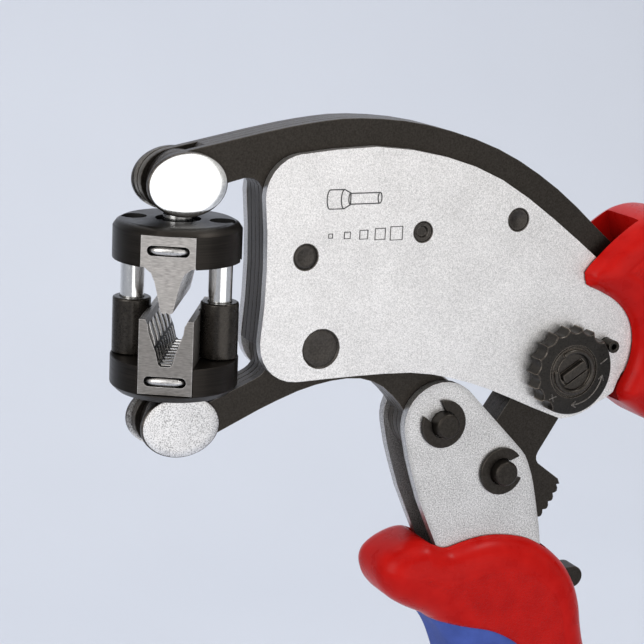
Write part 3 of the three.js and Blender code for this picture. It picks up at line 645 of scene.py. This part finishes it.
def dial_wheel():
    """Concave scallops with sharp crests round one half of the rim, and a small chamfer at the front."""
    sides = 720
    # Each round of the rim: its place along Y, how deep its scallops are cut, and how far it stands back.
    stations = ((WHEEL_BACK, 1.0, 0.25), (-6.75, 1.0, 0.0), (-9.8, 1.0, 0.0), (-10.15, 0.9, 0.06),
                (DIAL_FACE + 0.12, 0.75, 0.2), (DIAL_FACE, 0.6, 0.42))
    points = []
    for y, tooth, cut in stations:
        for k in range(sides):
            degrees = k / 2
            r = WHEEL_R
            if SCALLOPS_FROM <= degrees <= SCALLOPS_TO:
                t = (degrees - SCALLOPS_FROM) % SCALLOP_PITCH / SCALLOP_PITCH
                r -= tooth * SCALLOP_DEPTH * (4 * t * (1 - t)) ** 0.8 + (1 - tooth) * 0.5
            x, z = on_circle(DIAL_AT, r - cut, degrees)
            points.append((x, y, z))
    bore = ((6.1, DIAL_FACE), (5.9, DIAL_FACE + 0.3), (3.5, DIAL_FACE + 0.3), (3.5, WHEEL_BACK))
    return points + rounds(DIAL_AT, bore, sides), lattice(len(stations) + len(bore), sides, True)


wheel = make("dial_wheel_surface", *dial_wheel(), smooth=30)
weighted(dress(wheel, "dial_wheel", DIAL_BLACK))
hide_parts("dial_wheel")


HORSESHOE_R = 4.75
HORSESHOE_BAR_R = 0.55
HORSESHOE_FROM, HORSESHOE_ANGLE = 175, 300
BAR_TILT = math.radians(31.5)
# A round ledge of this radius lies beyond either slot, from this distance off the bar's middle line.
LEDGE_R = 4.2
LEDGE_FROM = 1.75


def dial_hub():
    """Cover over the shaft: a raised horseshoe ring round a sunk floor, with a bar between two slots."""
    y = DIAL_FACE
    floor = y + 0.75
    cup = [(0, -8.0), (3.3, -8.0), (3.3, floor + 0.6), (5.7, floor + 0.6), (5.7, y + 0.05),
           (4.35, y + 0.05), (4.25, floor), (0, floor)]
    parts = [lathe_y(DIAL_AT, cup)]
    ring = []
    for a in range(HORSESHOE_FROM, HORSESHOE_FROM + HORSESHOE_ANGLE, 6):
        x, z = on_circle(DIAL_AT, HORSESHOE_R, a)
        ring.append((x, y - 0.25, z))
    last = ring[-1]
    lip = [(last[0] - 0.7, last[1], last[2] - 0.2), (last[0] - 1.2, last[1], last[2] - 0.9)]
    parts.append(sweep_data(ring + lip, HORSESHOE_BAR_R, 12))
    c, s = math.cos(BAR_TILT), math.sin(BAR_TILT)

    def turned(points):
        return [(DIAL_AT[0] + c * u - s * v, DIAL_AT[1] + s * u + c * v) for u, v in points]

    bar = [(-3.0, -1.1), (3.0, -1.1), (3.3, 0), (3.0, 1.1), (-3.0, 1.1), (-3.3, 0)]
    parts.append(prism(turned(bar), y - 0.65, floor + 0.1))
    start = math.degrees(math.asin(LEDGE_FROM / LEDGE_R))
    for side in (-1, 1):
        arc = [(LEDGE_R * math.cos(math.radians(a)), side * LEDGE_R * math.sin(math.radians(a)))
               for a in np.linspace(start, 180 - start, 16)]
        parts.append(prism(turned(arc[::side]), y + 0.12, floor + 0.1))
    return merge(parts)


hub = round_edges(make("dial_hub", *dial_hub()), 0.22, 3)
dress(hub, "dial_screw", HUB_BLACK)
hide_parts("dial_screw")


SIGN_LINE_R = 0.16
ARROW_R = 7.8
ARROW_FROM, ARROW_TO = 270, 350


def dial_signs():
    """Raised signs on the dial: a minus, a plus and a curved arrow with a head at both ends."""
    y = DIAL_FACE - 0.03
    parts = []

    def draw(spots):
        parts.append(sweep_data([(x, y, z) for x, z in spots], SIGN_LINE_R, 8))

    def spot(r, degrees):
        return on_circle(DIAL_AT, r, degrees)

    draw([spot(7.1, 11), spot(9.0, 16)])
    x, z = spot(7.7, 228)
    draw([(x - 0.9, z - 0.3), (x + 0.9, z + 0.3)])
    draw([(x - 0.3, z + 0.9), (x + 0.3, z - 0.9)])
    draw([spot(ARROW_R, a) for a in range(ARROW_FROM, ARROW_TO + 1, 5)])
    for a, barb in ((ARROW_FROM, ARROW_FROM + 8), (ARROW_TO, ARROW_TO - 8)):
        draw([spot(ARROW_R, a), spot(8.5, barb)])
        draw([spot(ARROW_R, a), spot(7.1, barb)])
    return merge(parts)


signs = make("dial_signs", *dial_signs())
# The signs are drawn in a lighter black steel than the dial's face: a painted highlight on their raised lines.
dress(signs, "dial_wheel", GREY_BLACK)


# ------------------------------------------------------------------ die head
# The die plates lie within this distance of the head's axis.
DIE_HALF = 12.05
HEAD_BEVEL = 0.3
DIE_BEVEL = 0.14
# The recesses in the upper half's top, whose walls get painted shade: how deep they are, and the radius that all
# of them lie within.
RECESS_DEPTH = 0.85
RECESS_REACH = 11.99

for node in ("upper_head_body", "lower_head_body"):
    half = refined(node, HEAD_BEVEL, 3, material=TURNED_BLACK)
    half.data.materials.append(SLOT_SHADE)
    top = max(to_head(v.co)[2] for v in half.data.vertices)
    for polygon in half.data.polygons:
        u, v, z = to_head(polygon.center)
        recess = (abs(polygon.normal.z) < 0.6 and top - RECESS_DEPTH < z < top
                  and math.hypot(u, v) < RECESS_REACH)
        polygon.material_index = int(node.startswith("upper") and recess)
for node in ("guide_sleeve_left", "guide_sleeve_right"):
    refined(node, HEAD_BEVEL, 3, material=SLEEVE_BLACK)
for node in ("guide_pin_left", "guide_pin_right"):
    refined(node, PIN_BEVEL)


def wall_at(z):
    """Half width of the lower die's valley at a height."""
    heights = (-0.3, 0.2, 2.7, 4.9, 6.7, 8.3, 9.4)
    widths = (0.95, 1.45, 2.05, 2.9, 3.55, 3.75, 4.35)
    return float(np.interp(z, heights, widths))


def die_pack(node, staple_z, steel):
    """The pack of die plates; its clips' pockets and the valley's walls are darker inside, as painted shade."""
    obj = refined(node, DIE_BEVEL, material=steel)
    obj.data.materials.append(SLOT_SHADE)
    obj.data.materials.append(VALLEY_SHADE)
    for polygon in obj.data.polygons:
        u, v, z = to_head(polygon.center)
        if 10.0 < abs(v) < DIE_HALF and abs(u) < 4.6 and abs(z - staple_z) < 1.35:
            polygon.material_index = 1
        elif abs(v) < DIE_HALF and -0.6 < z < 8.0 and abs(u) < wall_at(z) + 0.1:
            polygon.material_index = 2


die_pack("punch_pack", centre("upper_staple_front").z, PUNCH_STEEL)
die_pack("vee_die_pack", centre("lower_staple_front").z, VEE_STEEL)


def head_prism(profile, low, high):
    """A flat bar in the head: profile is [u, z] pairs, filling v from low to high."""
    points, faces = prism(profile, low, high)
    return [head_point(u, v, z) for u, v, z in points], faces


# The ribs are round bars whose middle lines are set back into the steel.
RIB_R = 0.9
RIB_SET_BACK = 0.77
RIB_PITCH = 2.5
FLUTE_PITCH = 4.0
FLUTE_HALF = 0.8
FLUTE_DEPTH = 0.45
PUNCH_RIB_R = 0.45
PUNCH_RIB_SET_BACK = 0.33
PUNCH_RIB_PITCH = 1.9


def valley_ribs():
    """Half-round ribs across the valley's floor and up its walls, and broad flutes high on the left."""
    parts = []
    levels = (2.9, 2.3, 1.7, 1.1, 0.55, 0.0, -0.85)
    for k in range(9):
        v = -10.1 + RIB_PITCH * k
        left = [(-wall_at(z) - RIB_SET_BACK, v, z) for z in levels]
        right = [(wall_at(z) + RIB_SET_BACK, v, z) for z in reversed((3.9,) + levels)]
        parts.append(sweep_data([head_point(*p) for p in left + right], RIB_R, 14))
    for k in range(6):
        v = -9.9 + FLUTE_PITCH * k
        profile = []
        for i in range(9):
            z = 3.6 + 4.9 * i / 8
            rise = FLUTE_DEPTH * math.sin(math.pi * (i + 0.3) / 8.6)
            profile.append((-(wall_at(z) - rise), z))
        outer = [(-(wall_at(z) + 0.3), z) for z in (8.5, 6.0, 3.6)]
        parts.append(head_prism(profile + outer, v - FLUTE_HALF, v + FLUTE_HALF))
    return merge(parts)


ribs = round_edges(make("valley_ribs", *valley_ribs()), 0.14, 2, 50)
dress(ribs, "vee_die_pack", RIB_HIGHLIGHT_STEEL)


def punch_ribs():
    """Fine ridges down both flanks of the punch."""
    parts = []
    flank = ((3.1, 18.4), (2.7, 17.4), (2.1, 15), (1.65, 12.8))
    for k in range(12):
        v = -10.6 + PUNCH_RIB_PITCH * k
        for side in (-1, 1):
            path = [head_point(side * (u - PUNCH_RIB_SET_BACK), v, z) for u, z in flank]
            parts.append(sweep_data(path, PUNCH_RIB_R, 8))
    return merge(parts)


dress(make("punch_ribs", *punch_ribs(), smooth=60), "punch_pack", RIB_HIGHLIGHT_STEEL)

# A clip's bar is thicker in its straight middle than at its ends.
CLIP_FACE = 12.15
CLIP_END_R = 0.55
CLIP_EXTRA_R = 0.33


def staple(node):
    """A bent wire clip: a straight middle whose rounded ends dive into the die."""
    z = centre(node).z
    side = -1 if node.endswith("front") else 1
    face = side * CLIP_FACE
    bend = [(3.65, 1.8), (3.6, 1.1), (3.4, 0.62), (3.0, 0.38), (2.4, 0.28), (1.2, 0.24), (0, 0.22)]
    half = [(u, face - side * d) for u, d in bend]
    path = [(-u, v) for u, v in half] + [(u, v) for u, v in reversed(half[:-1])]
    radii = [CLIP_END_R + CLIP_EXTRA_R * min(1, max(0, (3.3 - abs(u)) / 1.2)) for u, v in path]
    obj = make(node + "_surface", *sweep_data([head_point(u, v, z) for u, v in path], radii, 16), smooth=60)
    dress(obj, node, CLIP_STEEL)
    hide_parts(node)


for node in ("upper_staple_front", "upper_staple_rear", "lower_staple_front", "lower_staple_rear"):
    staple(node)


# ------------------------------------------------------------------ grips
# A grip's outline is merged, evened out at the dense step and drawn at the wider one.
MERGE = 0.02
DENSE_STEP = 0.25
OUTLINE_STEP = 1.1
SMOOTHING_ROUNDS = 40


def grip_outline(prefix):
    """The grip's outline in [x, z], read from the front faces of its two CAD solids and evened out."""
    bm = bmesh.new()
    for node in (prefix + "_shell", prefix + "_inlay"):
        bm.from_mesh(frame["nodes"][node].data)
    front = min(v.co.y for v in bm.verts)
    keep = [f for f in bm.faces if all(abs(v.co.y - front) < 1e-5 for v in f.verts)]
    bmesh.ops.delete(bm, geom=[f for f in bm.faces if f not in set(keep)], context="FACES")
    bmesh.ops.remove_doubles(bm, verts=bm.verts, dist=MERGE * MM)
    edges = {}
    for e in bm.edges:
        if len(e.link_faces) == 1:
            for a, b in (e.verts, reversed(e.verts)):
                edges.setdefault(a.index, []).append(b.index)
    bm.verts.ensure_lookup_table()
    place = [((v.co.x - PIVOT.x) / MM, (v.co.z - PIVOT.z) / MM) for v in bm.verts]
    loops, used = [], set()
    for start in edges:
        if start in used:
            continue
        loop, last = [start], None
        while True:
            used.add(loop[-1])
            step = [n for n in edges[loop[-1]] if n != last and (n not in used or n == start)]
            if not step or step[0] == start:
                break
            last = loop[-1]
            loop.append(step[0])
        loops.append(loop)
    bm.free()
    loop = max(loops, key=len)
    return evened([place[i] for i in loop], OUTLINE_STEP)


def evened(points, step):
    """A closed outline through smoothed copies of the points, at an even step."""
    p = np.array(points, float)
    lengths = np.linalg.norm(np.roll(p, -1, 0) - p, axis=1)
    at = np.concatenate([[0], np.cumsum(lengths)])
    count = int(at[-1] / DENSE_STEP)
    s = np.linspace(0, at[-1], count, endpoint=False)
    closed = np.vstack([p, p[:1]])
    dense = np.stack([np.interp(s, at, closed[:, i]) for i in (0, 1)], 1)
    for _ in range(SMOOTHING_ROUNDS):
        dense = 0.25 * np.roll(dense, 1, 0) + 0.5 * dense + 0.25 * np.roll(dense, -1, 0)
    chosen = dense[:: max(1, int(step / DENSE_STEP))]
    area = np.sum(chosen[:, 0] * np.roll(chosen[:, 1], -1) - chosen[:, 1] * np.roll(chosen[:, 0], -1))
    return chosen if area > 0 else chosen[::-1]


def distance_to(points, line, closed=True):
    """Distance from each point to a polyline."""
    a = line if closed else line[:-1]
    b = np.roll(line, -1, 0) if closed else line[1:]
    d = b - a
    best = np.full(len(points), 1e9)
    for p, q, length in zip(a, d, np.maximum((d * d).sum(1), 1e-9)):
        t = np.clip(((points - p) @ q) / length, 0, 1)
        best = np.minimum(best, np.linalg.norm(points - p - t[:, None] * q, axis=1))
    return best


CREASE_INSET = 0.9
CREASE_WIDTH = 0.45
SEAM_DEPTH = 0.4
SEAM_WIDTH = 0.4
GRID_STEP = 1.9


def grip_body(name, outline, seam, radius, groove, half_at):
    """A pillow of the outline with rounded rims, a crease inside the rim, and the inlay's seam.

    radius is the rims' rounding, groove the crease's depth and half_at the half thickness at [x, z].
    """
    tangent = np.roll(outline, -1, 0) - np.roll(outline, 1, 0)
    tangent /= np.linalg.norm(tangent, axis=1)[:, None]
    inward = np.stack([-tangent[:, 1], tangent[:, 0]], 1)
    crease = radius + CREASE_INSET
    rings = [radius * (1 - math.cos(math.radians(a))) for a in (12, 26, 40, 54, 68, 80, 90)]
    rings = sorted(rings + [crease - 0.8, crease - 0.3, crease, crease + 0.3, crease + 0.8])
    layers = [outline]
    for d in rings:
        ring = outline + inward * d
        layers.append(ring[distance_to(ring, outline) > d * 0.985])
    low, high = outline.min(0), outline.max(0)
    columns, rows = (np.arange(low[i], high[i], GRID_STEP) for i in (0, 1))
    grid = np.array([(x, z) for x in columns for z in rows])
    grid = grid[inside(grid, outline)]
    grid = grid[distance_to(grid, outline) > max(rings) + 0.8]
    seam_side = np.stack([-np.gradient(seam[:, 1]), np.gradient(seam[:, 0])], 1)
    seam_side /= np.linalg.norm(seam_side, axis=1)[:, None]
    bands = np.vstack([seam + seam_side * o for o in (-0.8, -0.4, 0, 0.4, 0.8)])
    bands = bands[inside(bands, outline)]
    bands = bands[distance_to(bands, outline) > 0.6]
    grid = grid[distance_to(grid, seam, closed=False) > 1.3]
    flat = np.vstack(layers + [grid, bands])
    n = len(outline)
    edges = [(k, (k + 1) % n) for k in range(n)]
    triangulated = delaunay_2d_cdt([Vector(p) for p in flat], edges, [list(range(n))], 1, 1e-4)
    verts, faces = triangulated[0], triangulated[2]
    xz = np.array([tuple(v) for v in verts])
    d = distance_to(xz, outline)
    rise = np.sqrt(np.maximum(radius ** 2 - (radius - np.minimum(d, radius)) ** 2, 0))
    panel = np.clip((d - crease) / 0.8, 0, 1)
    rise -= groove * np.exp(-(((d - crease) / CREASE_WIDTH) ** 2))
    rise += 0.4 * groove * panel
    to_seam = distance_to(xz, seam, closed=False)
    rise -= SEAM_DEPTH * np.exp(-((to_seam / SEAM_WIDTH) ** 2)) * np.clip(d / 2, 0, 1)
    half = np.array([half_at(x, z) for x, z in xz])
    y = half - radius + rise
    count = len(xz)
    points = [(x, -h, z) for (x, z), h in zip(xz, y)] + [(x, h, z) for (x, z), h in zip(xz, y)]
    solid = [tuple(reversed(f)) for f in faces] + [tuple(count + i for i in f) for f in faces]
    rim = {}
    for f in faces:
        for a, b in zip(f, list(f[1:]) + [f[0]]):
            rim[(a, b)] = True
    for a, b in rim:
        if (b, a) not in rim:
            solid.append((a, b, count + b, count + a))
    return make(name, points, solid, smooth=55)


def inside(points, outline):
    """Whether each point lies inside a closed outline."""
    x, z = points[:, 0], points[:, 1]
    result = np.zeros(len(points), bool)
    for a, b in zip(outline, np.roll(outline, -1, 0)):
        crosses = (a[1] > z) != (b[1] > z)
        with np.errstate(divide="ignore", invalid="ignore"):
            at = (b[0] - a[0]) * (z - a[1]) / (b[1] - a[1]) + a[0]
        result ^= crosses & (x < at)
    return result


def curve(points, step=0.9):
    """A smooth open line through given points."""
    p = np.array(points, float)
    rows = []
    for i in range(len(p) - 1):
        p0, p1, p2, p3 = p[max(i - 1, 0)], p[i], p[i + 1], p[min(i + 2, len(p) - 1)]
        count = max(2, int(np.linalg.norm(p2 - p1) / step))
        for k in range(count):
            t = k / count
            rows.append(0.5 * (2 * p1 + (p2 - p0) * t + (2 * p0 - 5 * p1 + 4 * p2 - p3) * t * t
                               + (3 * p1 - p0 - 3 * p2 + p3) * t ** 3))
    rows.append(p[-1])
    return np.array(rows)


def set_panel(obj, outline, fade):
    """Marks where the moulded grain is: everywhere deeper than the crease."""
    co = np.array([((v.co.x - PIVOT.x) / MM, (v.co.z - PIVOT.z) / MM) for v in obj.data.vertices])
    value = np.clip(distance_to(co, outline) - fade, 0, 1)
    attribute = obj.data.attributes.new("panel", "FLOAT", "POINT")
    attribute.data.foreach_set("value", value.astype(np.float32))


def grip(prefix, seam_points, region_tail, slots, radius, groove, half_at):
    """One grip cut into its shell and its inlay.

    The inlay lies beyond the seam, as far as region_tail; slots are pairs of an outline and a half width.
    """
    outline = grip_outline(prefix)
    seam = curve(seam_points)
    whole = grip_body(prefix + "_moulding", outline, seam, radius, groove, half_at)
    for points, half in slots:
        cutter = make("cutter", *prism(points, -half, half))
        boolean(whole, cutter, "DIFFERENCE")
    region = [tuple(p) for p in seam] + region_tail
    inlay = whole.copy()
    inlay.data = whole.data.copy()
    bpy.context.scene.collection.objects.link(inlay)
    boolean(inlay, make("cutter", *prism(region, -20, 20)), "INTERSECT")
    boolean(whole, make("cutter", *prism(region, -20, 20)), "DIFFERENCE")
    for obj, node, fade in ((whole, prefix + "_shell", radius + 0.5), (inlay, prefix + "_inlay", -2.0)):
        obj.name = node + "_surface"
        finish_mesh(obj, 50)
        set_panel(obj, outline, fade)
        dress(obj, node)
        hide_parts(node)


def guard_half(x, z):
    """Half thickness of the lower grip: full in the handle, thinner towards the tip of its guard."""
    t = min(1.0, max(0.0, (37.0 - x + max(0.0, -62.0 - z)) / 19.0))
    return GRIP_HALF - 1.2 * t * t * (3 - 2 * t)


# Outlines of the slots that hold the steel, each drawn with its half width.
STEEL_SLOT_HALF = 6.5
LEVER_SLOT_HALF = 3.2
UPPER_SLOT = [(50, 41), (62, 38), (77.6, 28), (79.6, 19.6), (92, 6.7), (106, -1.6), (121.5, -13.6),
              (121.5, -23), (112, -26), (97, -18), (85, -12.4), (79.2, -12.2), (77.5, -17.5), (60, -22)]
LOWER_SLOT = [(20, -38), (22, -43), (29.5, -47), (33, -56.4), (38, -70), (45.7, -86), (55, -101.6),
              (60, -105), (65, -103), (65.6, -98), (58.4, -82), (55.6, -70), (60.2, -59), (60.2, -49),
              (60, -38)]
LEVER_SLOT = [(52, -50), (60, -54), (80, -53), (80, -70), (66, -68.4), (56, -64), (39, -64), (39, -56)]
UPPER_SEAM = [(101, 24), (103, 3), (113, -10.5), (128, -25), (141, -41), (150, -57), (155, -69), (176, -60)]
LOWER_SEAM = [(14, -63), (20, -63.5), (32, -65.5), (46, -69), (56, -77), (64, -92), (74, -109), (86, -124),
              (93, -137), (92, -156)]

grip("upper_grip", UPPER_SEAM, [(150, 10)], [(UPPER_SLOT, STEEL_SLOT_HALF)], radius=6.0, groove=0.12,
     half_at=lambda x, z: GRIP_HALF)
grip("lower_grip", LOWER_SEAM, [(30, -130)], [(LOWER_SLOT, STEEL_SLOT_HALF), (LEVER_SLOT, LEVER_SLOT_HALF)],
     radius=6.4, groove=0.0, half_at=guard_half)


# ------------------------------------------------------------------ marks on the front plate
MARK_LINE_R = 0.14
MARK_AT = (6.8, 32.2)
COLLAR_HALF = 2.05
CONE_HALF = 1.25
BARREL_HALF = 1.15
SQUARES = (0.45, 0.7, 0.95, 1.2, 1.45)


def plate_marks():
    """A plain picture of a wire ferrule and, under it, square cross-sections from small to large."""
    y = PLATE_FRONT - 0.01
    parts = []
    cx, cz = MARK_AT
    left, collar, cone, end = cx - 6.3, cx - 3.0, cx - 1.5, cx + 5.4

    def line(points, closed=False):
        parts.append(sweep_data([(x, y, z) for x, z in points], MARK_LINE_R, 6, closed))

    def oval(x, half, depth, degrees):
        return [(x + depth * math.cos(math.radians(a)), cz + half * math.sin(math.radians(a)))
                for a in degrees]

    def bulge(x, half, depth):
        return oval(x, half, -depth, range(-90, 91, 15))

    line(bulge(left, COLLAR_HALF, 0.7) + [(collar, cz + COLLAR_HALF)] + bulge(cone, CONE_HALF, 0.0)[::-1]
         + [(collar, cz - COLLAR_HALF)], True)
    line(bulge(collar, COLLAR_HALF, 0.7))
    line(bulge(cone, CONE_HALF, 0.45))
    for side in (1, -1):
        line([(cone, cz + side * BARREL_HALF), (end, cz + side * BARREL_HALF)])
    line(oval(end, BARREL_HALF, 0.45, range(0, 360, 20)), True)
    for k, size in enumerate(SQUARES):
        x, z = cx - 5.8 + 3.9 * k, cz - 7.8
        line([(x - size, z - size), (x + size, z - size), (x + size, z + size), (x - size, z + size)], True)
    return merge(parts)


marks = make("plate_marks", *plate_marks())
dress(marks, "side_plate_front", MARK)


# ------------------------------------------------------------------ stage, light and camera
def stage_material():
    """Matt pale blue paper with a very faint, broad mottling."""
    n = Nodes("stage")
    mottle = n.spread(n.noise(0.004, 2), 0, 1)
    n.put("Base Color", n.shade(mottle, (0.655, 0.69, 0.765), (0.675, 0.71, 0.785)))
    n.put("Roughness", 0.9)
    return n.material


def backdrop():
    """A floor well below the held tool that sweeps up into a wall behind it."""
    floor, wall, bend = -0.42, 1.5, 0.6
    front, top = -2.2, 3.0
    left, right = -3.5, 4.5
    sweep = [(wall - bend + bend * math.sin(a), floor + bend - bend * math.cos(a))
             for a in np.linspace(0, math.pi / 2, 16)]
    rows = [(front, floor)] + sweep + [(wall, top)]
    mesh = bpy.data.meshes.new("backdrop")
    verts = [(x, y, z) for y, z in rows for x in (left, right)]
    faces = [(2 * i, 2 * i + 1, 2 * i + 3, 2 * i + 2) for i in range(len(rows) - 1)]
    mesh.from_pydata(verts, [], faces)
    obj = bpy.data.objects.new("backdrop", mesh)
    bpy.context.scene.collection.objects.link(obj)
    for polygon in mesh.polygons:
        polygon.use_smooth = True
    mesh.materials.append(stage_material())


def area_light(name, direction, distance, size, power, aim=(0.02, 0, 0)):
    """A soft light that shines from a direction; aim is given from the jaw's pivot, in metres."""
    target = PIVOT + Vector(aim)
    light = bpy.data.lights.new(name, "AREA")
    light.shape = "RECTANGLE"
    light.size, light.size_y = size
    light.energy = power
    obj = bpy.data.objects.new(name, light)
    toward = Vector(direction).normalized()
    obj.location = target + toward * distance
    obj.rotation_mode = "QUATERNION"
    obj.rotation_quaternion = (-toward).to_track_quat("-Z", "Y")
    bpy.context.scene.collection.objects.link(obj)


# The viewing angle in degrees, the distance in metres, the lens in millimetres, and how far the picture's
# middle lies from the aim, as shares of the distance to the right and up.
AZIMUTH, ELEVATION, ROLL = -26, 13.3, 2.7
DISTANCE = 0.419
FOCAL_LENGTH, SENSOR = 110.12, 36.0
SHIFT_RIGHT, SHIFT_UP = 0.0005, 0.0137


def place_camera():
    """The camera looks towards the jaw's pivot, on the front plate's face."""
    azimuth, elevation, roll = math.radians(AZIMUTH), math.radians(ELEVATION), math.radians(ROLL)
    back = Vector((math.sin(azimuth) * math.cos(elevation), -math.cos(azimuth) * math.cos(elevation),
                   math.sin(elevation)))
    level = (-back).cross(Vector((0, 0, 1))).normalized()
    upright = level.cross(-back)
    right = level * math.cos(roll) + upright * math.sin(roll)
    up = -level * math.sin(roll) + upright * math.cos(roll)
    aim = PIVOT + Vector((0, PLATE_FRONT, 0)) * MM
    data = bpy.data.cameras.new("camera")
    data.lens, data.sensor_width = FOCAL_LENGTH, SENSOR
    data.clip_start, data.clip_end = 0.01, 20
    camera = bpy.data.objects.new("camera", data)
    camera.matrix_world = Matrix((right, up, back)).transposed().to_4x4()
    camera.location = aim - DISTANCE * (-back - SHIFT_RIGHT * right - SHIFT_UP * up)
    bpy.context.scene.collection.objects.link(camera)
    bpy.context.scene.camera = camera


backdrop()
area_light("front_soft", (0.08, -1.0, 0.03), 1.0, (1.05, 1.05), 4.1)
area_light("left_soft", (-1.0, -0.5, 0.5), 0.9, (0.5, 0.9), 5.0)
area_light("top_soft", (0.1, -0.15, 1.0), 0.9, (1.0, 0.7), 1.3)
area_light("glint", (0.42, -0.3, 0.85), 0.9, (0.22, 0.12), 1.6)
area_light("wall_wash", (0.1, -0.2, 1.0), 1.7, (2.0, 1.2), 13, aim=(0.5, 1.25, -0.3))
world = bpy.data.worlds.new("studio")
world.use_nodes = True
background = world.node_tree.nodes["Background"]
background.inputs["Color"].default_value = (0.70, 0.69, 0.68, 1)
background.inputs["Strength"].default_value = 0.75
bpy.context.scene.world = world
bpy.context.scene.view_settings.view_transform = "Standard"
place_camera()
